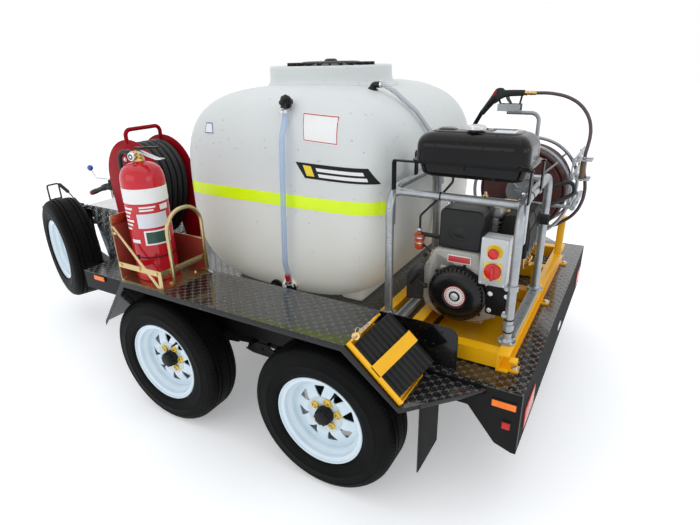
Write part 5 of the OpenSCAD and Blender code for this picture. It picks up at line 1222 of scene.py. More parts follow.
chain = paint(joined("chock_chain", chain), bright_zinc)
for piece, finish_slot in ((pins, "gold_zinc"), (chain, "zinc_plate")):
    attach(piece, "trailer")

# ---- Pump skid: yellow channel frame bolted to the deck ----
# Rolled channel, welded and powder coated yellow, with galvanised slotted strut laid on it for
# the engine's feet, and zinc bolts through its lugs.
dress("skid_frame", yellow_powder, 0.0015)
galv = coat_of("galvanised_steel", (0.50, 0.52, 0.54), (0.36, 0.38, 0.40), 0.42, metal=0.6, patch=26,
               grain=140, bumps=0.25, spread=0.7)
galv_pipe = coat_of("galvanised_pipe", (0.44, 0.46, 0.47), (0.27, 0.29, 0.31), 0.32, metal=0.65, patch=16,
                    grain=120, bumps=0.25, spread=0.7)
dress("galvanised_brackets", galv)


def bolt_at(place, direction, size):
    """Bolt head with its washer"""
    section = [(0, size * 0.95), (size * 0.8, size * 0.95), (size, size * 0.8), (size, size * 0.22),
               (size * 1.5, size * 0.2), (size * 1.5, 0), (0, 0)]
    return turned_at("bolt", section, place, direction, 12, smooth=20)


skid_bolts = [bolt_at((659, y, 576), (0, 0, 1), 10) for y in (-700, -71, 480)]
skid_bolts += [bolt_at((x, y, 664), (0, 0, 1), 8) for x in (320, 460) for y in (-500, -220)]
skid_bolts += [bolt_at((610, y, 647.5), (0, 0, 1), 6) for y in (-560, -420, -280, -160)]
for x, y in ((106, -640), (106, -100), (606, -640), (606, -100), (456, 56), (456, 344)):
    for dx, dy in ((24, 24), (-24, -24), (24, -24), (-24, 24)):
        skid_bolts.append(bolt_at((x + dx * 0.85, y + dy * 0.85, 651), (0, 0, 1), 5))
skid_bolts = paint(joined("skid_bolts", skid_bolts), bright_zinc)
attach(skid_bolts, "trailer")
post_caps = paint(joined("post_caps", [block("cap", (572, -68.4, 743), (608, -27, 750), 0.002),
                                       block("cap", (602, 427, 844), (643, 473, 851), 0.002)]), yellow_powder)
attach(post_caps, "trailer")

# ---- Cage: bent galvanised water pipe round the engine ----
# Two hoops of 27 mm pipe on welded feet, joined by two cross rails, with the stand of the hose
# reel beside them; hot-dip galvanised, so the zinc's spangle shows. Black cable ties hold the leads.
dress("cage", galv_pipe)
cage_extra = []
for x, y in ((106, -640), (606, -640), (106, -100), (606, -100)):
    cage_extra.append(turned_at("weld", [(17, 12), (18, 9), (22, 3), (24, 0), (16.8, 0)], (x, y, 651),
                                (0, 0, 1), 28, closed=True))
for x in (106, 606):
    toward = 1 if x < 300 else -1
    cage_extra.append(turned_at("weld", [(15, 14), (16, 10), (19, 4), (20, 0), (14.8, 0)],
                                (x + toward * 15, -600, 1172), (toward, 0, 0), 24, closed=True))
cage_extra.append(bolt_at((589, -655, 760), (0, -1, 0), 7))
cage_extra.append(bolt_at((589, -655, 870), (0, -1, 0), 7))
cage_welds = paint(joined("cage_welds", cage_extra), galv_pipe)
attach(cage_welds, "trailer")
tie_list = []
for x, y, z, d in ((606, -640, 690, (0, 0, 1)), (606, -640, 716, (0, 0, 1)), (606, -640, 742, (0, 0, 1)),
                   (300, -600, 1172, (1, 0, 0)), (606, -520, 1187, (0, 1, 0))):
    radius = 17.2 if d[0] == 0 else 15.2
    tie_list.append(turned_at("tie", [(radius - 0.3, -2.6), (radius + 1.6, -2.6), (radius + 1.6, 2.6),
                                      (radius - 0.3, 2.6)], (x, y, z), d, 28, closed=True))
carriers = []
for y in (-624, -401):
    carriers.append(block("carrier_bar", (111.4, y - 9.6, 1295.4), (628.6, y + 9.6, 1301.5), 0.0008, 1))
    carriers += [block("carrier_leg", (x - 0.6, y - 15.6, 1184), (x + 5.6, y + 15.6, 1296), 0.0008, 1)
                 for x in (112, 620)]
carriers = paint(joined("fuel_tank_carriers", carriers), black_satin)
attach(carriers, "trailer")
cage_ties = paint(joined("cage_cable_ties", tie_list), nylon)
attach(cage_ties, "trailer")

# ---- Fuel tank: two black pressings joined by a seam ----
# Pressed steel halves with deep rounded corners, seam-welded round the middle, in gloss black;
# a vented silver cap stands on the filler neck, and a rubber pad lies on the top.


def pressing(name, levels, centre, corner_steps=10, grid=4):
    """Pressed shell bridged from rounded rectangles, each given as height, length, width and corner"""
    clear_pick()
    count = 4 * (corner_steps + 1) + 4 * grid
    bpy.ops.mesh.primitive_circle_add(vertices=count, radius=0.1)
    piece = bpy.context.object
    piece.name = name
    bpy.ops.object.mode_set(mode="EDIT")
    bpy.ops.mesh.select_all(action="SELECT")
    for _ in levels[1:]:
        bpy.ops.mesh.extrude_edges_move()
    bpy.ops.object.mode_set(mode="OBJECT")
    for row, (z, length, width, r) in enumerate(levels):
        ring = []
        for q, (sx, sy) in enumerate(((1, 1), (-1, 1), (-1, -1), (1, -1))):
            cx, cy = sx * (length / 2 - r), sy * (width / 2 - r)
            turns_here = [math.radians(90 * q + 90 * k / corner_steps) for k in range(corner_steps + 1)]
            ring += [(cx + r * math.cos(a), cy + r * math.sin(a)) for a in turns_here]
            nx, ny = ((-1, 1), (-1, -1), (1, -1), (1, 1))[q]
            start = ring[-1]
            if q % 2 == 0:
                goal = (nx * (length / 2 - r), ny * width / 2)
            else:
                goal = (nx * length / 2, ny * (width / 2 - r))
            ring += [(start[0] + (goal[0] - start[0]) * k / (grid + 1),
                      start[1] + (goal[1] - start[1]) * k / (grid + 1))
                     for k in range(1, grid + 1)]
        for k, (x, y) in enumerate(ring):
            piece.data.vertices[row * count + k].co = mm(centre[0] + x, centre[1] + y, z)
    pick_next("EDGE")
    for end in (0, len(levels) - 1):
        for v in piece.data.vertices:
            v.select = end * count <= v.index < (end + 1) * count
        for e in piece.data.edges:
            e.select = all(end * count <= i < (end + 1) * count for i in e.vertices)
        bpy.ops.object.mode_set(mode="EDIT")
        bpy.ops.mesh.edge_face_add()
        bpy.ops.mesh.select_all(action="DESELECT")
        bpy.ops.object.mode_set(mode="OBJECT")
    bpy.ops.object.mode_set(mode="EDIT")
    bpy.ops.mesh.select_all(action="SELECT")
    bpy.ops.mesh.normals_make_consistent(inside=False)
    bpy.ops.object.mode_set(mode="OBJECT")
    bpy.ops.object.shade_smooth_by_angle(angle=math.radians(34))
    return piece


def crowned(z0, z1, length, width, corner, rise, steps=9, flare=0.0):
    """Levels of a pressing whose wall goes up from z0 and rolls over to z1 with the radius rise"""
    up = 1 if z1 > z0 else -1
    levels = [(z0, length, width, corner), (z0 + up * (abs(z1 - z0) - rise) * 0.5, length - 2 - flare / 2,
                                            width - 2 - flare / 2, corner)]
    for k in range(steps + 1):
        a = math.radians(90 * k / steps)
        inset = rise * (1 - math.cos(a)) + flare
        levels.append((z1 - up * rise * (1 - math.sin(a)), length - 3 - 2 * inset, width - 3 - 2 * inset,
                       max(corner - inset * 0.3, 12)))
    return levels


FUEL = (400, -512)
upper = pressing("fuel_tank_upper", crowned(1306.2, 1407, 418, 236, 50, 52), FUEL)
lower = pressing("fuel_tank_lower", crowned(1301.4, 1243.5, 404, 202, 46, 24, 7, 6), FUEL)
seam = pressing("fuel_tank_seam", [(1300.9, 436, 234, 40), (1301.6, 440, 238, 41), (1305.6, 440, 238, 41),
                                   (1306.6, 436, 234, 40)], FUEL)
lip = pressing("fuel_tank_lip", [(1306.4, 428, 228, 40), (1309.2, 424, 224, 40),
                                 (1310.6, 419, 220, 40)], FUEL)
neck = turned_at("filler_neck", [(0, 11), (26, 11), (27, 9), (27.5, 0), (31, -1.5), (36, -3), (0, -3)],
                 (401, -552, 1406), (0, 0, 1), 40)
swage = pressing("fuel_tank_swage", [(1404, 330, 150, 40), (1408.5, 322, 142, 38),
                                     (1410.5, 310, 130, 34)], FUEL)
fuel = joined("fuel_tank_shell", [upper, lower, seam, lip, neck, swage])
fuel_black = coat_of("fuel_tank_black", (0.0035, 0.0035, 0.004), (0.006, 0.006, 0.006), 0.06, patch=4,
                     bumps=0.03, drops=0.28, shine=0.22)
paint(fuel, fuel_black)
pad = block("fuel_tank_pad", (260, -552, 1407), (322, -512, 1414), 0.003)
pad_lines = [block("line", (266 + k * 13, -546, 1413), (272 + k * 13, -518, 1415.4), 0.001) for k in range(4)]
pad = paint(joined("fuel_tank_pad", [pad, *pad_lines]), nylon)
mesh_pad = paint(block("fuel_tank_plate", (462, -560, 1407.5), (540, -496, 1411.6), 0.002), vinyl_pale)
for piece, finish_slot in ((fuel, "black_gloss"), (pad, "black_plastic"), (mesh_pad, "black_plastic")):
    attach(piece, "trailer")
    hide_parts("fuel_tank")
cap_body = turned_at("fuel_cap_body", [(0, 14.5), (18, 14.5), (22, 15.6), (29, 14.5), (33, 11), (34, 8),
                                       (34, 0.8), (31, 0), (0, 0)], (401, -552, 1417.4), (0, 0, 1), 48)


def round_circle(count, radius, first=0.0):
    """Offsets of a number of places spread evenly round a circle"""
    turns_here = [math.radians(first) + math.tau * k / count for k in range(count)]
    return [(radius * math.cos(a), radius * math.sin(a)) for a in turns_here]


GRIP = [(0, 9.5), (1.8, 9), (2.4, 7), (2.4, 0.6), (0, 0.6)]
grips = [turned_at("grip", GRIP, (401 + p, -552 + q, 1417.4), (0, 0, 1), 8) for p, q in round_circle(24, 34)]
cap_bar = block("cap_bar", (374, -557, 1428), (428, -547, 1432.8), 0.002)
fuel_cap = paint(joined("fuel_cap_dressed", [cap_body, cap_bar, *grips]), bright_zinc)
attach(fuel_cap, "fuel_cap")
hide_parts("fuel_cap")

# ---- Coupling and brake lever: cast head with its trigger latch, bolted to the nose plate ----
# Cast steel ball coupling with a lever trigger and a pull-up handbrake, all in black enamel;
# the bolts and the ball socket's rim are bare zinc.
black_enamel = coat_of("black_enamel", (0.010, 0.010, 0.011), (0.03, 0.026, 0.022), 0.24,
                       patch=14, bumps=0.35)
dress("coupling", black_enamel, 0.0012)
dress("coupling_latch", black_enamel, 0.0012)
dress("brake_lever", black_enamel, 0.0010)
nose_bolts = [bolt_at((x, y, 484), (0, 0, 1), 6.5) for x in (-3430, -3285) for y in (-46, 46)]
nose_bolts += [bolt_at((x, y, 454), (0, 0, 1), 5.5) for x in (-3100, -3000) for y in (-74, 74)]
nose_bolts.append(turned_at("latch_pin", [(0, 5), (8, 5), (10, 3), (10, 0), (0, 0)], (-3355, -27, 504),
                            (0, -1, 0), 24))
nose_bolts = paint(joined("coupling_bolts", nose_bolts), bright_zinc)
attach(nose_bolts, "trailer")
lever_grip = [(0, 0), (11.5, 0), (13.5, 3)]
for k in range(8):
    lever_grip += [(14.4, 8 + k * 13), (14.4, 14 + k * 13), (12.9, 16 + k * 13), (12.9, 19 + k * 13)]
lever_grip = paint(turned_at("brake_grip", lever_grip + [(14, 113), (9, 119), (0, 120)], (-3150, 0, 680),
                             (-105, 0, 55), 28), nylon)
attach(lever_grip, "brake_lever")

# ---- Jockey wheel: tube in its swivel clamp, leg, rubber-tyred wheel and crank ----
# Zinc-plated steel tube, leg and fork; a solid rubber tyre on a pressed centre; the crank has
# a turned black knob.
aged_zinc = coat_of("aged_zinc_plate", (0.46, 0.47, 0.48), (0.32, 0.33, 0.33), 0.38, metal=0.85,
                    patch=16, bumps=0.35)
for part_name in ("jockey_tube", "jockey_leg", "jockey_crank"):
    dress(part_name, aged_zinc, 0.0008)
dress("jockey_wheel", coat_of("solid_tyre_rubber", (0.012, 0.012, 0.013), (0.03, 0.029, 0.028), 0.6, patch=30,
                              bumps=0.6, shine=0.2))
along_arm = Vector((1980, 614, 0)).normalized()
off_arm = Vector((-along_arm.y, along_arm.x, 0))


def jockey_point(along, off, z):
    """A place given along the right drawbar arm, outwards from the jockey tube, and above the ground"""
    spot = Vector((-3480, 56, 0)) + along_arm * (560 + along) + off_arm * (75 + off)
    return (spot.x, spot.y, z)


AXLE_CAP = [(0, 3), (8, 3), (9.5, 2), (9.5, -1), (0, -1)]
axle_caps = [turned_at("axle_cap", AXLE_CAP, jockey_point(0, side * 46, 112), off_arm * side, 6, smooth=20)
             for side in (-1, 1)]
axle_caps = paint(joined("jockey_axle_caps", axle_caps), bright_zinc)
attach(axle_caps, "jockey_leg")
crank_knob = paint(turned_at("crank_knob", [(0, 0), (11, 0), (13.5, 4), (11.6, 16), (13, 34), (16.5, 50),
                                            (14, 62), (8, 67), (0, 68)], jockey_point(0, 92, 722),
                             (0, 0, 1), 32), nylon)
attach(crank_knob, "jockey_crank")
TYRE_RIB = [(86, 2.2), (90, 3.4), (92, 2.2), (92, 0), (86, 0)]
wheel_face = [turned_at("tyre_rib", TYRE_RIB, jockey_point(0, side * 26.6, 112), off_arm * side, 72, True)
              for side in (-1, 1)]
wheel_face = paint(joined("jockey_wheel_rib", wheel_face), black_satin)
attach(wheel_face, "jockey_wheel")
pin_handle = [turned_at("pin_knob", [(0, 14), (9, 14), (12, 11), (12, 4), (9, 0), (0, 0)],
                        jockey_point(-92, 0, 470), -along_arm, 24)]
pin_handle = paint(joined("swivel_pin_knob", pin_handle), nylon)
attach(pin_handle, "jockey_tube")

# ---- Toolbox across the drawbar: checker aluminium, riveted, with a hinged lid ----
# Folded from 3 mm five-bar aluminium sheet; the lid has a turned-down edge, three hinges
# and two overcentre latches on the front face.
chequer = coat_of("chequer_aluminium", (0.78, 0.79, 0.80), (0.62, 0.63, 0.65), 0.22, metal=0.95, patch=6,
                  grain=350, bumps=0.1)
tree = chequer.node_tree
heights = []
for turn, shift in ((45, 0.0), (-45, 0.01)):
    turned_to = add_node(tree, "Mapping", {"Vector": where_on(chequer), "Rotation": [math.radians(turn)] * 3,
                                           "Location": [shift] * 3})
    bands = [add_node(tree, "TexWave", {"Scale": scale, "Vector": turned_to.outputs[0]},
                      bands_direction=way).outputs["Fac"]
             for way, scale in (("X", 22), ("Y", 9))]
    both = add_node(tree, "Math", {0: bands[0], 1: bands[1]}, operation="MULTIPLY")
    heights.append(ramp(tree, both.outputs[0], 0.62, 0.8, 0, 1))
taller = add_node(tree, "Math", {0: heights[0], 1: heights[1]}, operation="MAXIMUM")
bars_bump = add_node(tree, "Bump", {"Strength": 0.8, "Distance": 0.0015, "Height": taller.outputs[0],
                                    "Normal": behind(chequer, "Normal")})
feed(shader_of(chequer), {"Normal": bars_bump.outputs[0]})
dress("toolbox", chequer)
dress("toolbox_lid", chequer)
RIVET = [(0, 2.2), (2.6, 1.9), (4.2, 0.8), (4.5, 0), (0, 0)]
box_fixings = [turned_at("rivet", RIVET, (-1744.8, y, 790), (1, 0, 0), 16) for y in range(-460, 470, 115)]
box_fixings += [turned_at("rivet", RIVET, (-1765, side * 500.2, z), (0, side, 0), 16)
                for side in (-1, 1) for z in (500, 590, 680, 770)]
box_rivets = paint(joined("toolbox_rivets", box_fixings), bright_zinc)
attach(box_rivets, "trailer")
latches = []
for y in (-300, 300):
    latches.append(block("latch_plate", (-2098, y - 24, 794), (-2094.2, y + 24, 828), 0.0012, 1))
    latches.append(block("latch_bow", (-2103, y - 15, 780), (-2097.5, y + 15, 812), 0.0018, 2))
latches = paint(joined("lid_latches", latches), bright_zinc)
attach(latches, "toolbox_lid")

# ---- Marker lamps and reflectors: clipped to the side rails and the rear lip ----
# Moulded lenses with fine inner ribs on black rubber gaskets: amber at the sides, red at the
# rear, a clear lamp for the plate in the middle.


def lens_of(name, colour, pitch):
    """Coloured lens plastic with fine moulded ribs and a faint painted glow of its own colour"""
    mat = coat_of(name, colour, tuple(c * 0.7 for c in colour), 0.16, patch=40, bumps=0.1,
                  clear=0.1, shine=0.3)
    tree = mat.node_tree
    ribs = add_node(tree, "TexWave", {"Scale": pitch, "Vector": where_on(mat)}, bands_direction="DIAGONAL")
    bump = add_node(tree, "Bump", {"Strength": 0.5, "Distance": 0.001, "Height": ribs.outputs["Fac"],
                                   "Normal": behind(mat, "Normal")})
    # Painted glow: each lens emits a little light of its own colour.
    feed(shader_of(mat), {"Normal": bump.outputs[0], "Emission Color": (*colour, 1),
                          "Emission Strength": 0.18})
    return mat


amber = lens_of("amber_lens", (0.95, 0.20, 0.015), 90)
ruby = lens_of("ruby_lens", (0.55, 0.012, 0.010), 80)
clear_lens = lens_of("clear_lens", (0.8, 0.8, 0.78), 120)


def lamp(name, centre, normal, size, mat, body=4.0, proud=6.0):
    """One lamp: a thin black gasket and a moulded lens with rounded edges"""
    normal = Vector(normal)
    side = Vector((0, 0, 1)).cross(normal)
    pieces = []
    for grow, low, high, bevel in ((3.0, 0.0, body, body / 4000), (0.0, body, body + proud, proud / 2000)):
        w, h = size[0] / 2 + grow, size[1] / 2 + grow
        spot = Vector(centre) + normal * (low + high) / 2
        a = spot - side * w - Vector((0, 0, h)) - normal * (high - low) / 2
        b = spot + side * w + Vector((0, 0, h)) + normal * (high - low) / 2
        pieces.append(block(name, tuple(min(p, q) for p, q in zip(a, b)),
                            tuple(max(p, q) for p, q in zip(a, b)), bevel, 3))
    paint(pieces[0], nylon)
    paint(pieces[1], mat)
    return pieces


pairs = []
for side in (-1, 1):
    for (x, z), size, glass in (((-1590, 545), (86, 26), amber), ((662, 510), (86, 26), amber),
                                ((677, 425), (28, 28), ruby)):
        pairs.append(lamp("side_lamp", (x, side * 845, z), (0, side, 0), size, glass))
    pairs.append(lamp("tail_lamp", (724, side * 700, 430), (1, 0, 0), (176, 86), ruby, 1.5, 4.5))
pairs.append(lamp("plate_lamp", (724, 0, 430), (1, 0, 0), (66, 24), clear_lens, 1.5, 4.5))
gaskets, lamps = zip(*pairs)
lamp_gaskets = joined("lamp_gaskets", gaskets)
lamp_lenses = joined("lamp_lenses", lamps)
for piece, finish_slot in ((lamp_gaskets, "black_rubber"), (lamp_lenses, "lamp_lens")):
    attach(piece, "trailer")
    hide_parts("marker_lamps")

# ---- Engine: single-cylinder air-cooled diesel ----
# Die-cast aluminium crankcase and finned cylinder under a pressed, champagne-grey fan shroud;
# black splash plate, orange-red fuel strainer bowl, dipstick and lever work on its near side.
cast = coat_of("cast_alloy", (0.44, 0.44, 0.43), (0.32, 0.32, 0.31), 0.44, metal=0.85, patch=30,
               grain=380, bumps=0.6)
shroud_grey = coat_of("shroud_grey_paint", (0.36, 0.345, 0.31), (0.31, 0.30, 0.27), 0.30, metal=0.25,
                      patch=10, bumps=0.12, clear=0.2)
CRANK = (382, 776)
body = [bar_of("crankcase", [(250, 664), (515, 664), (515, 700), (545, 740), (545, 860), (500, 920),
                             (260, 920), (228, 860), (228, 720), (250, 700)], -544, -200, 0.012, 4),
        bar_of("sump_rib", [(240, 676), (525, 676), (525, 690), (240, 690)], -548, -196, 0.003),
        block("cylinder", (292, -384, 915), (476, -232, 1050), 0.008, 3),
        bar_of("head", [(280, 1046), (492, 1046), (492, 1064), (474, 1094), (304, 1094), (280, 1070)], -384,
               -232, 0.010, 3)]
for i in range(8):
    body.append(block("fin", (266, -394, 926 + i * 15), (492, -220, 929.5 + i * 15), 0.0012, 1))
for i in range(5):
    body.append(block("rib", (268 + i * 54, -200, 700), (276 + i * 54, -192, 850), 0.002, 1))
for x, z in ((262, 705), (262, 900), (500, 905), (530, 760), (530, 850), (380, 680)):
    body.append(turned_at("boss", [(0, 8), (10, 8), (12, 6), (12, 0), (0, 0)], (x, -544, z), (0, -1, 0), 16))
for x in (265, 500):
    body.append(block("foot", (x - 24, -520, 664), (x + 24, -240, 674), 0.003))
body.append(turned_at("flange", [(0, 16), (80, 16), (86, 14), (88, 10), (88, 0), (0, 0)], (382, -200, 776),
                      (0, 1, 0), 64))
body.append(block("injector_pump", (510, -420, 800), (556, -350, 868), 0.006, 3))
body.append(turned_at("pump_plunger", [(0, 40), (10, 40), (12, 36), (12, 14), (18, 12), (18, 0), (0, 0)],
                      (532, -385, 868), (0, 0, 1), 20))
body.append(turned_at("oil_neck", [(0, 46), (13, 46), (14, 44), (14, 0), (0, 0)], (262, -440, 860),
                      (-0.86, 0, 0.5), 24))
engine_body = paint(joined("engine_castings", body), cast)

shroud = bar_of("shroud", [(232, 720), (244, 690), (290, 660), (330, 650), (436, 650), (480, 664), (524, 690),
                           (545, 726), (545, 846), (470, 862), (470, 938), (452, 955), (290, 955),
                           (268, 944), (232, 862)],
                -574, -540, 0.012, 4)
hole = turned_at("hole", [(0, 60), (98, 60), (98, -5), (0, -5)], (382, -600, 776), (0, 1, 0), 64)
cut_away(shroud, hole)
trim = [shroud]
for x, z in ((250, 880), (262, 716), (520, 716), (528, 838), (456, 930)):
    trim.append(bolt_at((x, -574, z), (0, -1, 0), 6))
trim.append(bar_of("shroud_step", [(300, 866), (460, 866), (452, 884), (306, 884)], -577, -572, 0.002))
shroud = paint(joined("fan_shroud", trim), shroud_grey)
plate = paint(block("shroud_blank_plate", (336, -579.5, 908), (424, -577, 932), 0.0006), red_vinyl)
plate_rim = paint(block("shroud_plate_rim", (333, -578.5, 905), (427, -573, 935), 0.0006), vinyl_white)

splash = bar_of("splash_plate", [(148, 690), (232, 700), (238, 860), (196, 866), (150, 806)], -551,
                -547.5, 0.001)
splash_rib = bar_of("splash_rib", [(156, 700), (224, 708), (228, 720), (158, 712)], -553.5, -550, 0.001)
splash = paint(joined("splash_plate", [splash, splash_rib]),
               coat_of("splash_dark_grey", (0.030, 0.030, 0.030), (0.045, 0.043, 0.040), 0.36, patch=12,
                       bumps=0.3, drops=0.3))

bowl = turned_at("strainer_bowl", [(0, 915), (12, 915), (19, 919), (22, 927), (22, 950), (21, 955), (22, 958),
                                   (22, 970), (0, 971)], (188, -520, 0), (0, 0, 1), 32)
bowl_mat = coat_of("orange_red_bowl", (0.72, 0.12, 0.03), (0.60, 0.07, 0.02), 0.14, patch=40,
                   bumps=0.05, clear=0.3)
feed(shader_of(bowl_mat), {"Transmission Weight": 0.25})
paint(bowl, bowl_mat)
filter_head = paint(turned_at("filter_head", [(0, 22), (9, 22), (10, 18), (10, 12), (20, 11), (24, 8),
                                              (24, 1), (22, 0), (0, 0)], (188, -520, 970.6),
                              (0, 0, 1), 28), bowl_mat)
filter_rings = [turned_at("ring", [(21.5, -3), (23.6, -2), (23.6, 2), (21.5, 3)], (188, -520, z),
                          (0, 0, 1), 32, True) for z in (947, 969)]
filter_rings = paint(joined("strainer_rings", filter_rings), bright_zinc)
filter_bits = [block("filter_arm", (188, -527, 974), (300, -513, 990), 0.003),
               tubing("filter_outlet", [(188, -520, 940), (215, -528, 936), (244, -535, 920),
                                        (262, -535, 900)], 4.5, 14, 12),
               turned_at("knob_a", [(0, 12), (7, 12), (8, 10), (8, 0), (0, 0)], (232, -548, 905),
                         (-0.5, -0.8, 0), 14),
               tubing("governor_rod", [(262, -556, 870), (300, -560, 900), (330, -560, 890)], 2.2, 10, 8)]
filter_bits = paint(joined("strainer_head_and_pipes", filter_bits), nylon)
lever_work = [block("speed_lever", (256, -562, 866), (262, -552, 926), 0.002),
              tubing("spring_rod", [(259, -557, 922), (290, -570, 940), (310, -570, 936)], 2, 8, 8),
              turned_at("dipstick_cap", [(0, 20), (13, 20), (16, 18), (16, 8), (14, 0), (0, 0)],
                        (232, -440, 877), (-0.86, 0, 0.5), 12),
              turned_at("fuel_banjo", [(0, 20), (8, 20), (9, 18), (9, 0), (0, 0)], (532, -385, 905),
                        (0, 0, 1), 6, smooth=20),
              tubing("injector_pipe", [(532, -385, 918), (532, -385, 960), (512, -350, 1010),
                                       (480, -310, 1075), (440, -308, 1100), (400, -308, 1094)], 3.2, 24, 10),
              turned_at("injector", [(0, 42), (6, 42), (7, 30), (12, 28), (12, 8), (16, 6), (16, 0), (0, 0)],
                        (392, -308, 1090), (0, 0, 1), 16),
              block("head_bracket", (470, -300, 1070), (520, -290, 1110), 0.002),
              block("brass_block", (486, -330, 1040), (512, -300, 1072), 0.004)]
lever_work = paint(joined("engine_levers_and_pipes", lever_work), gold_plate)
for piece, finish_slot in ((engine_body, "cast_alloy"), (shroud, "cast_alloy"), (plate, "red_plastic"),
                           (plate_rim, "white_paint"), (splash, "black_paint"), (bowl, "red_plastic"),
                           (filter_head, "red_plastic"), (filter_rings, "zinc_plate"),
                           (filter_bits, "black_plastic"), (lever_work, "gold_zinc")):
    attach(piece, "trailer")
    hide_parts("engine")

# ---- Recoil starter: black pressed housing with vents round its rim ----
# Deep-drawn steel in black, spot-welded to the shroud, air slots round the rim and a shallow
# dished face; a printed ring surrounds the chromed centre bolt. The T-handle pulls out.
STARTER_FACE = (CRANK[0], -575, CRANK[1])
housing = turned_at("starter_housing", [(0, 38), (22, 38), (24, 39.5), (44, 39.5), (47, 42), (50, 44),
                                        (70, 44), (92, 41.5), (98, 38.5), (102, 36), (110, 30), (115.5, 22),
                                        (118, 14), (118, 0), (112, 0), (112, 12), (96, 30),
                                        (40, 36), (0, 36)],
                    STARTER_FACE, (0, -1, 0), 144)
slots = []
for i in range(40):
    slot_shape = turned("slot", [(0, -9), (3.1, -9), (3.1, 9), (0, 9)], 10, closed=False)
    settle(slot_shape, spun(9 * i, "Z") @ Matrix.Translation((0.108, 0, 0.030)) @ spun(48, "Y")
           @ Matrix.Scale(2.3, 4, (1, 0, 0)))
    slots.append(slot_shape)
slot_tool = joined("slots", slots)
settle(slot_tool, towards(STARTER_FACE, (0, -1, 0)))
cut_away(housing, slot_tool)
bpy.ops.object.shade_smooth_by_angle(angle=math.radians(32))
inner_dark = turned_at("starter_inside", [(0, 31), (94, 27), (106, 14), (109, 2), (0, 2)], STARTER_FACE,
                       (0, -1, 0), 72)
starter_bits = [housing, inner_dark]
starter_bits += [bolt_at((CRANK[0] + p, -575, CRANK[1] + q), (0, -1, 0), 4.5)
                 for p, q in round_circle(6, 121, 20)]
starter = paint(joined("recoil_starter_housing", starter_bits),
                coat_of("starter_black", (0.005, 0.005, 0.006), (0.010, 0.010, 0.010), 0.22, patch=18,
                        bumps=0.3, shine=0.3))
ring_white = paint(turned_at("starter_ring", [(23, 40.4), (43.5, 40.4), (43.5, 39.3), (23, 39.3)],
                             STARTER_FACE, (0, -1, 0), 64, True), vinyl_white)
DASH = [(0, 41.0), (2.6, 41.0), (2.6, 40.2), (0, 40.2)]
ring_red = [turned_at("dash", DASH, (CRANK[0] + p, -575, CRANK[1] + q), (0, -1, 0), 8)
            for p, q in round_circle(24, 36)]
ring_red.append(turned_at("rim", [(41.5, 40.9), (43.6, 40.9), (43.6, 39.4), (41.5, 39.4)], STARTER_FACE,
                          (0, -1, 0), 64, True))
ring_red = paint(joined("starter_ring_marks", ring_red), red_vinyl)
hub_black = paint(turned_at("starter_hub", [(0, 43), (19, 43), (21.5, 41.5), (22, 38), (0, 38)], STARTER_FACE,
                            (0, -1, 0), 40), nylon)
grey_bolt = coat_of("bright_bolt_head", (0.78, 0.79, 0.80), (0.66, 0.67, 0.69), 0.32, metal=0.35,
                    patch=60, bumps=0.2)
centre_bolt = paint(turned_at("starter_bolt", [(0, 47.5), (11, 47.2), (14.5, 45.5), (15.5, 43), (17.5, 43),
                                               (17.5, 42), (0, 42)], STARTER_FACE, (0, -1, 0), 24), grey_bolt)
for piece, finish_slot in ((starter, "black_paint"), (ring_white, "white_paint"), (ring_red, "red_plastic"),
                           (hub_black, "black_plastic"), (centre_bolt, "chrome_rod")):
    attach(piece, "trailer")
    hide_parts("recoil_starter")
grip = pressing("grip", [(784, 20, 18, 8), (788, 24, 23, 10), (806, 21, 20, 9), (822, 22, 22, 10),
                         (838, 21, 20, 9), (856, 24, 23, 10), (860, 20, 18, 8)], (206, -604), 5, 1)
settle(grip, Matrix.Translation(mm(206, -604, 822)) @ spun(35, "Y") @ Matrix.Translation(-mm(206, -604, 822)))
stem = tubing("stem", [(214, -604, 816), (262, -604, 784.5)], 6, 0, 14)
collar_piece = turned_at("stem_collar", [(6, 0), (10, 0), (11, 3), (11, 10), (9, 13), (6, 13)],
                         (246, -604, 795), (0.83, 0, -0.55), 20, True)
handle_t = paint(joined("starter_t_handle", [grip, stem, collar_piece]), nylon)
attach(handle_t, "starter_handle")
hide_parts("starter_handle")

# ---- Air cleaner: moulded black box on the intake ----
# Glass-filled nylon cover over a flat base, with rounded corners and an oval recess with a
# raised pad; a zinc wing nut holds the cover.
cover = bar_of("cover", [(288, 972), (292, 960), (300, 956), (442, 956), (450, 960), (454, 972), (462, 1090),
                         (460, 1106), (448, 1117), (436, 1118), (314, 1118), (300, 1117), (290, 1106),
                         (288, 1090)], -566, -474, 0.012, 5)
base = bar_of("base", [(292, 962), (450, 962), (458, 1094), (448, 1112), (302, 1112), (292, 1094)], -476,
              -400, 0.006, 3)
recess = turned("recess", [(0, -6), (40, -6), (43, -3), (46, 5), (0, 5)], 48, closed=False)
settle(recess, towards((372, -568, 1024), (0, 1, 0)) @ Matrix.Scale(0.72, 4, (0, 1, 0)))
cut_away(cover, recess)
bpy.ops.object.shade_smooth_by_angle(angle=math.radians(34))
raised = turned("raised", [(0, 3), (22, 3), (28, 1.5), (29, -4), (0, -4)], 36, closed=False)
settle(raised, towards((372, -561.5, 1024), (0, -1, 0)) @ Matrix.Scale(0.68, 4, (0, 1, 0)))
seam_line = bar_of("seam", [(286, 966), (456, 966), (464, 1092), (456, 1118), (296, 1118), (286, 1092)],
                   -477.5, -474, 0.001)
intake = tubing("intake", [(372, -402, 1065), (372, -380.5, 1065)], 18, 0, 32)
cleaner = paint(joined("air_cleaner_cover", [cover, base, raised, seam_line, intake]),
                coat_of("cleaner_black", (0.009, 0.0095, 0.010), (0.016, 0.016, 0.017), 0.40, patch=16,
                        grain=500, bumps=0.4, shine=0.3))
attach(cleaner, "trailer")
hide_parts("air_cleaner")
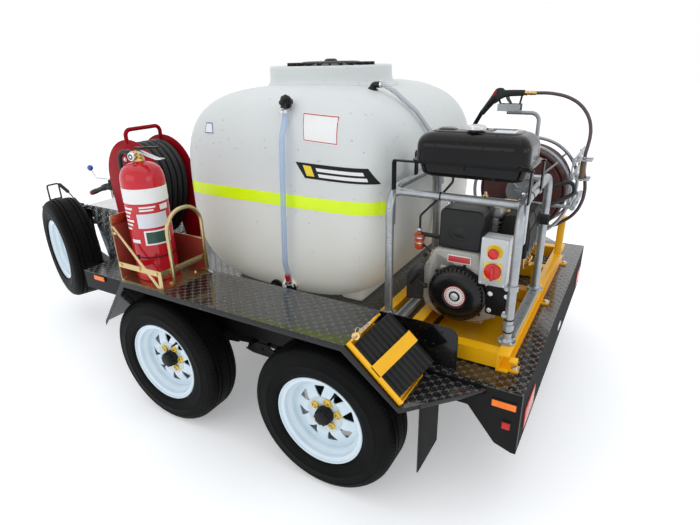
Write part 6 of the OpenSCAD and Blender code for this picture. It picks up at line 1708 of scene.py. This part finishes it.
wing = [turned_at("boss", [(0, 10), (5, 10), (7, 8), (8, 0), (0, 0)], (300, -500, 1118), (0, 0, 1), 12),
        block("wing", (286, -502, 1124), (314, -498, 1134), 0.002)]
wing = paint(joined("air_cleaner_wing_nut", wing), bright_zinc)
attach(wing, "trailer")

# ---- Muffler: black box with its tailpipe ----
# Pressed halves crimped round the edge, in black heat paint, with a louvred guard and a short
# tailpipe that points out through the cage.
heat_black = coat_of("heat_black_paint", (0.008, 0.008, 0.008), (0.020, 0.018, 0.016), 0.50, patch=18,
                     bumps=0.5, shine=0.25)
muffler_parts = [bar_of("can", [(500, 962), (548, 942), (562, 906), (602, 906), (604, 912), (604, 1052),
                                (594, 1076), (574, 1080), (524, 1080), (504, 1072), (494, 1050), (494, 968)],
                        -428, -192, 0.010, 4),
                 bar_of("crimp", [(490, 960), (606, 904), (606, 1054), (596, 1079), (524, 1083), (500, 1076),
                                  (490, 1050)], -314, -306, 0.002),
                 tubing("tailpipe", [(600, -235, 1024), (644, -235, 1024)], 22, 0, 32, False),
                 turned_at("pipe_flange", [(22, 8), (30, 8), (32, 6), (32, 0), (22, 0)], (603, -235, 1024),
                           (1, 0, 0), 28, True),
                 turned_at("pipe_end", [(18.5, 43), (22.4, 43), (22.4, 0), (18.5, 0)], (601, -235, 1024),
                           (1, 0, 0), 32, True)]
for k in range(9):
    muffler_parts.append(block("louvre", (604, -420 + k * 18, 940), (608, -411 + k * 18, 1030), 0.0012, 1))
muffler = paint(joined("muffler_can", muffler_parts), heat_black)
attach(muffler, "trailer")
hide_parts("muffler")

# ---- Control box: stop button and isolator on a grey box ----
# Die-cast grey box with a screwed lid on a black bracket plate; a round yellow plate carries the
# red mushroom button and a square yellow plate the red rotary isolator, both without words.
grey_box = coat_of("grey_enclosure", (0.58, 0.60, 0.61), (0.52, 0.54, 0.55), 0.34, metal=0.3, patch=12,
                   grain=420, bumps=0.4)
case = [bar_of("case", [(473, 856), (476, 853), (570, 853), (573, 856), (573, 1036), (570, 1039), (476, 1039),
                        (473, 1036)], -602, -541, 0.004, 3),
        bar_of("case_lid", [(471.5, 854), (474.5, 851.5), (571.5, 851.5), (574.5, 854.5), (574.5, 1037.5),
                            (571.5, 1040.5), (474.5, 1040.5), (471.5, 1037.5)], -615, -603.5, 0.003, 3)]
case = paint(joined("control_box_case", case), grey_box)
screws = [turned_at("screw", [(0, 2), (3.4, 2), (4.2, 1), (4.2, 0), (0, 0)], (x, -615, z), (0, -1, 0), 12)
          for x in (480, 566) for z in (860, 1032)]
screws += [bolt_at((x, -608, z), (0, -1, 0), 6.5)
           for x, z in ((520, 745), (582, 745), (520, 815), (582, 815))]
screws.append(turned_at("gland", [(0, 22), (9, 22), (11, 19), (11, 8), (14, 7), (14, 0), (0, 0)],
                        (500, -575, 853), (0, 0, -1), 6, smooth=20))
screws = paint(joined("control_box_screws", screws), bright_zinc)
round_plate = turned_at("legend_round", [(0, 2), (29.5, 2), (30.5, 1.2), (31, 0), (0, 0)], (523, -615, 988),
                        (0, -1, 0), 48)
square_plate = bar_of("legend_square", [(490, 879), (556, 879), (556, 945), (490, 945)], -617, -615, 0.0006)
yellow_plate = paint(joined("legend_plates", [round_plate, square_plate]),
                     coat_of("yellow_legend", (0.90, 0.72, 0.03), (0.84, 0.66, 0.03), 0.32,
                             patch=30, bumps=0.08))
MARK = [(0, 2.4), (1.3, 2.4), (1.3, 1.9), (0, 1.9)]
ring_marks = [turned_at("mark", MARK, (523 + p, -615, 988 + q), (0, -1, 0), 6)
              for p, q in round_circle(16, 26)]
ring_marks = paint(joined("legend_marks", ring_marks), red_vinyl)
back_plate = bar_of("back_plate", [(505, 734), (511, 728), (592, 728), (598, 734), (598, 826),
                                   (570, 852), (505, 852)], -608, -603, 0.001)
box_lead = tubing("box_lead", [(500, -575, 833), (500, -578, 800), (490, -560, 770), (470, -556, 745),
                               (430, -560, 700), (420, -556, 670)], 4, 24, 10)
back_plate = paint(joined("control_bracket", [back_plate, box_lead]), black_satin)
for piece, finish_slot in ((case, "grey_plastic"), (screws, "zinc_plate"), (yellow_plate, "yellow_paint"),
                           (ring_marks, "red_plastic"), (back_plate, "black_paint")):
    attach(piece, "trailer")
    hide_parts("control_box")
red_button = coat_of("red_button_plastic", (0.66, 0.018, 0.016), (0.58, 0.014, 0.014), 0.24,
                     patch=40, bumps=0.05)
mushroom = turned_at("stop_button_dressed", [(0, 30), (8, 29.6), (14, 28), (18.5, 25), (20.4, 21), (20.4, 17),
                                             (18.5, 14), (12, 12), (9, 12), (9, -14), (0, -14)],
                     (523, -617, 988), (0, -1, 0), 40)
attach(paint(mushroom, red_button), "stop_button")
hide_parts("stop_button")
knob_disc = turned_at("knob_disc", [(0, 11), (28, 11), (31, 9.5), (32, 7), (32, 0.6), (0, 0.6)],
                      (523, -617, 912), (0, -1, 0), 40)
knob_bar = bar_of("knob_bar", [(516.5, 880), (520, 877.6), (526, 877.6), (529.5, 880), (531, 912), (529, 934),
                               (523, 936.5), (517, 934), (515, 912)], -634.8, -626, 0.003, 3)
knob = paint(joined("isolator_knob_dressed", [knob_disc, knob_bar]), red_button)
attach(knob, "isolator_knob")
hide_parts("isolator_knob")

# ---- Pressure pump: triplex plunger pump on a reduction gearbox ----
# Cast alloy crankcase with an oil window, forged brass head with six valve caps, unloader valve
# with its knob, and swivel fittings for the hoses.
pump_bits = [turned_at("gearbox", [(0, 54), (78, 54), (86, 50), (88, 44), (88, 0), (0, 0)], (382, -184, 776),
                       (0, 1, 0), 64),
             bar_of("pump_case", [(300, 684), (470, 684), (490, 720), (490, 850), (300, 850),
                                  (285, 800), (285, 720)], -130, 35, 0.010, 3),
             block("pump_base", (320, -120, 664), (450, 25, 686), 0.004)]
for i in range(5):
    pump_bits.append(block("cooling_rib", (282 + i * 44, -100, 848), (288 + i * 44, 10, 859), 0.0015, 1))
pump_bits.append(turned_at("oil_window", [(0, 6), (14, 6), (16, 4), (16, 0), (0, 0)], (340, 34, 770),
                           (0, 1, 0), 24))
pump_bits += [bolt_at((382 + p, -132, 776 + q), (0, 1, 0), 6) for p, q in round_circle(6, 72)]
pump_case = paint(joined("pump_castings", pump_bits), cast)
brass_bits = [block("pump_head", (490, -112, 730), (548, 18, 842), 0.006, 3)]
for y in (-88, -47, -6):
    for z in (758, 814):
        brass_bits.append(turned_at("valve_cap", [(0, 15), (11, 15), (13, 13), (13, 6), (17, 5),
                                                  (17, 0), (0, 0)], (547, y, z), (1, 0, 0), 6, smooth=20))
brass_bits += [turned_at("unloader", [(0, 60), (13, 60), (16, 57), (16, 20), (19, 18), (19, 4),
                                      (16, 0), (0, 0)], (520, -47, 842), (0, 0, 1), 28),
               turned_at("outlet_a", [(0, 29), (9, 29), (10, 26), (10, 0), (0, 0)], (520, -71, 870),
                         (0, -1, 0), 20),
               turned_at("outlet_b", [(0, 18), (8, 18), (12, 14), (12, 4), (8, 0), (0, 0)], (520, -47, 944),
                         (0, 0, 1), 6, smooth=20),
               turned_at("inlet", [(0, 42), (13, 42), (17, 36), (17, 14), (13, 12), (13, 0), (0, 0)],
                         (519, 18, 790), (0, 1, 0), 24)]
pump_brass = paint(joined("pump_head_and_unloader", brass_bits), brass)
KNOB_RIB = [(0, 41), (2.5, 40), (3, 36), (3, 6), (0, 4)]
knob_rib = [turned_at("k", KNOB_RIB, (520 + p, -47 + q, 902), (0, 0, 1), 8)
            for p, q in round_circle(12, 22.5)]
knob_body = turned_at("knob", [(0, 42), (18, 42), (23, 38), (23, 3), (20, 0), (0, 0)], (520, -47, 902),
                      (0, 0, 1), 32)
unloader_knob = paint(joined("unloader_knob", [knob_body, *knob_rib]), nylon)
for piece, finish_slot in ((pump_case, "cast_alloy"), (pump_brass, "pump_brass"),
                           (unloader_knob, "black_plastic")):
    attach(piece, "trailer")
    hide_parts("pressure_pump")

# ---- Service hoses: suction, jumper and fuel line ----
# Ribbed black suction hose from the tank, an 18 mm jumper to the reel's swivel and the fuel
# line from tank to strainer, each on barbs with clips or crimped ends.
suction = tubing("suction", [(519, 56, 790), (519, 110, 790), (500, 130, 720), (200, 130, 712),
                             (112, 90, 700), (100, -10, 700)], 13, 36, 20)
jumper = tubing("jumper", [(520, -47, 958), (520, -47, 1000), (600, 0, 1020), (700, 30, 1080),
                           (690, 22, 1140), (570, 22, 1090), (520, 22, 1053), (474, 22, 1053)], 9, 24, 18)
fuel_line = tubing("fuel_line", [(188, -520, 992), (188, -520, 1060), (240, -480, 1120), (300, -470, 1200),
                                 (300, -470, 1243)], 5, 24, 14)
hoses = paint(joined("service_hoses_dressed", [suction, jumper, fuel_line]), hose_black)
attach(hoses, "trailer")
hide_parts("service_hoses")
CRIMP = [(9, 0), (11.5, 1), (11.5, 32), (9, 34), (8.8, 34), (8.8, 0)]
ends = [worm_clip("clip", (519, 62, 790), (0, 1, 0), 13.4),
        worm_clip("clip", (100, 8, 700), (0.1, 1, 0), 13.4),
        worm_clip("clip", (188, -520, 1002), (0, 0, 1), 5.6),
        turned_at("crimp", CRIMP, (520, -47, 963), (0, 0, 1), 20, True),
        turned_at("crimp", CRIMP, (476, 22, 1053), (1, 0, 0), 20, True),
        turned_at("swivel_nut", [(0, 20), (11, 20), (13, 17), (13, 4), (11, 0), (0, 0)], (456, 36, 1053),
                  (0, 1, 0), 6, smooth=20)]
hose_ends = paint(joined("service_hose_clips", ends), bright_zinc)
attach(hose_ends, "trailer")

# ---- Hose reel: galvanised drum wound with high-pressure hose ----
# Two ring flanges with rod spokes on a tube hub; ten turns of the maroon hose show on the
# outside, wound over the inner layers.
dress("reel_drum", galv_pipe)
maroon = coat_of("maroon_hose_cover", (0.095, 0.026, 0.022), (0.055, 0.020, 0.018), 0.32, patch=18,
                 grain=300, bumps=0.2)
# The free stretch of hose gets its own, greyer maroon cover, unlike the wound turns.
gun_hose.data.materials.append(coat_of("greyed_maroon_hose_cover", (0.090, 0.050, 0.048), (0.060, 0.042, 0.041),
                                       0.32, patch=18, grain=300, bumps=0.2))
REEL = (456, 1053)
WOUND_RADIUS, HOSE_PITCH, TURNS, TURN_STEPS = 193, 19.2, 10, 60
wound = []
for i in range(TURNS * TURN_STEPS + 1):
    a = math.tau * i / TURN_STEPS
    wound.append((REEL[0] + WOUND_RADIUS * math.sin(a), 104 + HOSE_PITCH * i / TURN_STEPS,
                  REEL[1] - WOUND_RADIUS * math.cos(a)))
outer = tubing("outer_layer", wound, 9, 0, 16)
core = turned_at("core", [(72, 9)] + [(176 + 6.5 * math.sin(math.radians(a)), 9 + 9.6 * (k + a / 180))
                                      for k in range(22) for a in (20, 90, 160)] + [(72, 222)],
                 (REEL[0], 84, REEL[1]), (0, 1, 0), 72, True)
wound_hose = paint(joined("wound_hose", [outer, core]), maroon)
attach(wound_hose, "hose_reel")
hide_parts("reel_hose")
dress("hose_guide", galv)
dress("guide_roller", coat_of("brown_roller_nylon", (0.15, 0.085, 0.035), (0.10, 0.06, 0.03), 0.4,
                              patch=30, bumps=0.3))
guide_bolts = [bolt_at((680, y, z), (1, 0, 0), 4.5) for y in (70.4, 329.6) for z in (1140, 1148, 1210, 1222)]
guide_bolts += [bolt_at((x, y, z), (0, 0, 1), 4.5) for x, y, z in ((706, 158, 1218), (706, 204, 1218))]
guide_bolts = paint(joined("hose_guide_bolts", guide_bolts), bright_zinc)
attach(guide_bolts, "trailer")

# ---- Spray gun and its lance: lying in the holder above the reel ----
# Moulded black gun body in two screwed halves with a red grip insert and a looped trigger guard,
# a brass swivel at the inlet, a zinc lance tube in a black sleeve and a brass nozzle socket.
gun_shell = bar_of("gun_shell", [(383, 1501), (383, 1474), (352, 1472), (312, 1470), (292, 1466), (270, 1456),
                                 (252, 1440), (240, 1432), (222, 1440), (214, 1450), (222, 1470),
                                 (232, 1490), (242, 1504), (256, 1510), (276, 1509), (284, 1499),
                                 (330, 1501)], 286, 314, 0.006, 4)
gun_seam = bar_of("gun_seam", [(382, 1501.8), (330, 1501.8), (285, 1500), (276, 1509.8), (256, 1510.8),
                               (241, 1504.6), (250, 1500), (282, 1492), (382, 1496)], 299, 301, 0.0004, 1)
gun_bits = [gun_shell, gun_seam,
            tubing("trigger_guard", [(372, 300, 1478), (360, 300, 1412), (280, 300, 1412),
                                     (256, 300, 1466)], 5, 14, 18),
            turned_at("lance_sleeve", [(0, 100), (12.6, 100), (14.2, 97), (14.2, 84), (13.2, 82), (14.6, 80),
                                       (15.6, 62), (14.6, 60), (15.8, 58), (17, 38), (19, 12),
                                       (20.5, 0), (0, 0)],
                      (240, 300, 1465), (-52, 0, -68), 32)]
for x, z in ((362, 1487), (256, 1492), (240, 1456)):
    for side in (-1, 1):
        gun_bits.append(turned_at("gun_screw", [(0, 0.6), (1.6, 0.6), (1.6, 1.6), (3.6, 1.6), (4.2, 1),
                                                (4.2, 0), (0, 0)], (x, 300 + side * 13.8, z),
                                  (0, side, 0), 16))
gun_body = paint(joined("spray_gun_body", gun_bits), nylon)
red_grip = coat_of("red_grip_rubber", (0.36, 0.010, 0.012), (0.28, 0.008, 0.010), 0.42, patch=24, bumps=0.25)
inserts = [bar_of("grip_insert", [(240, 1500), (250, 1497), (246, 1484), (236, 1466), (226, 1455),
                                  (217, 1452), (222, 1468), (231, 1486)], 300 + s * 12,
                  300 + s * 15.2, 0.0015, 2) for s in (-1, 1)]
grip_insert = paint(joined("spray_gun_grip_insert", inserts), red_grip)
lance_bits = [tubing("lance", [(228, 300, 1452), (180, 300, 1392), (147, 300, 1330),
                               (124, 300, 1273.5)], 11, 30, 28)]
lance_steel = paint(joined("spray_gun_lance", lance_bits), black_satin)
down_lance = Vector((114 - 124.4, 0, 1248.5 - 1274.5))
gun_brass_bits = [turned_at("nozzle_socket", [(0, 28), (6.5, 28), (8, 26), (8, 22), (7.2, 21), (8, 20),
                                              (8, 0), (12.5, -2), (13.5, -6), (13.5, -18),
                                              (11, -20), (0, -20)], (124.4, 300, 1274.5), down_lance, 24),
                  turned_at("gun_swivel", [(0, 26), (8.2, 26), (10, 24), (10, 18), (13, 16), (13, 4),
                                           (11, 0), (0, -4)], (382, 300, 1487), (1, 0, 0), 6, smooth=20),
                  turned_at("gun_ferrule", [(8.2, 0), (10.6, 1), (10.6, 30), (9, 33), (8.2, 33)],
                            (406, 299.5, 1487), (1, 0, 0.02), 24, True)]
gun_brass = paint(joined("spray_gun_fittings", gun_brass_bits), brass)
for piece, finish_slot in ((gun_body, "black_plastic"), (grip_insert, "red_plastic"),
                           (lance_steel, "zinc_plate"), (gun_brass, "pump_brass")):
    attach(piece, "trailer")
    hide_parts("spray_gun")
dress("gun_trigger", coat_of("grey_trigger_nylon", (0.10, 0.10, 0.105), (0.06, 0.06, 0.062), 0.4,
                             patch=26, bumps=0.3), 0.0015)
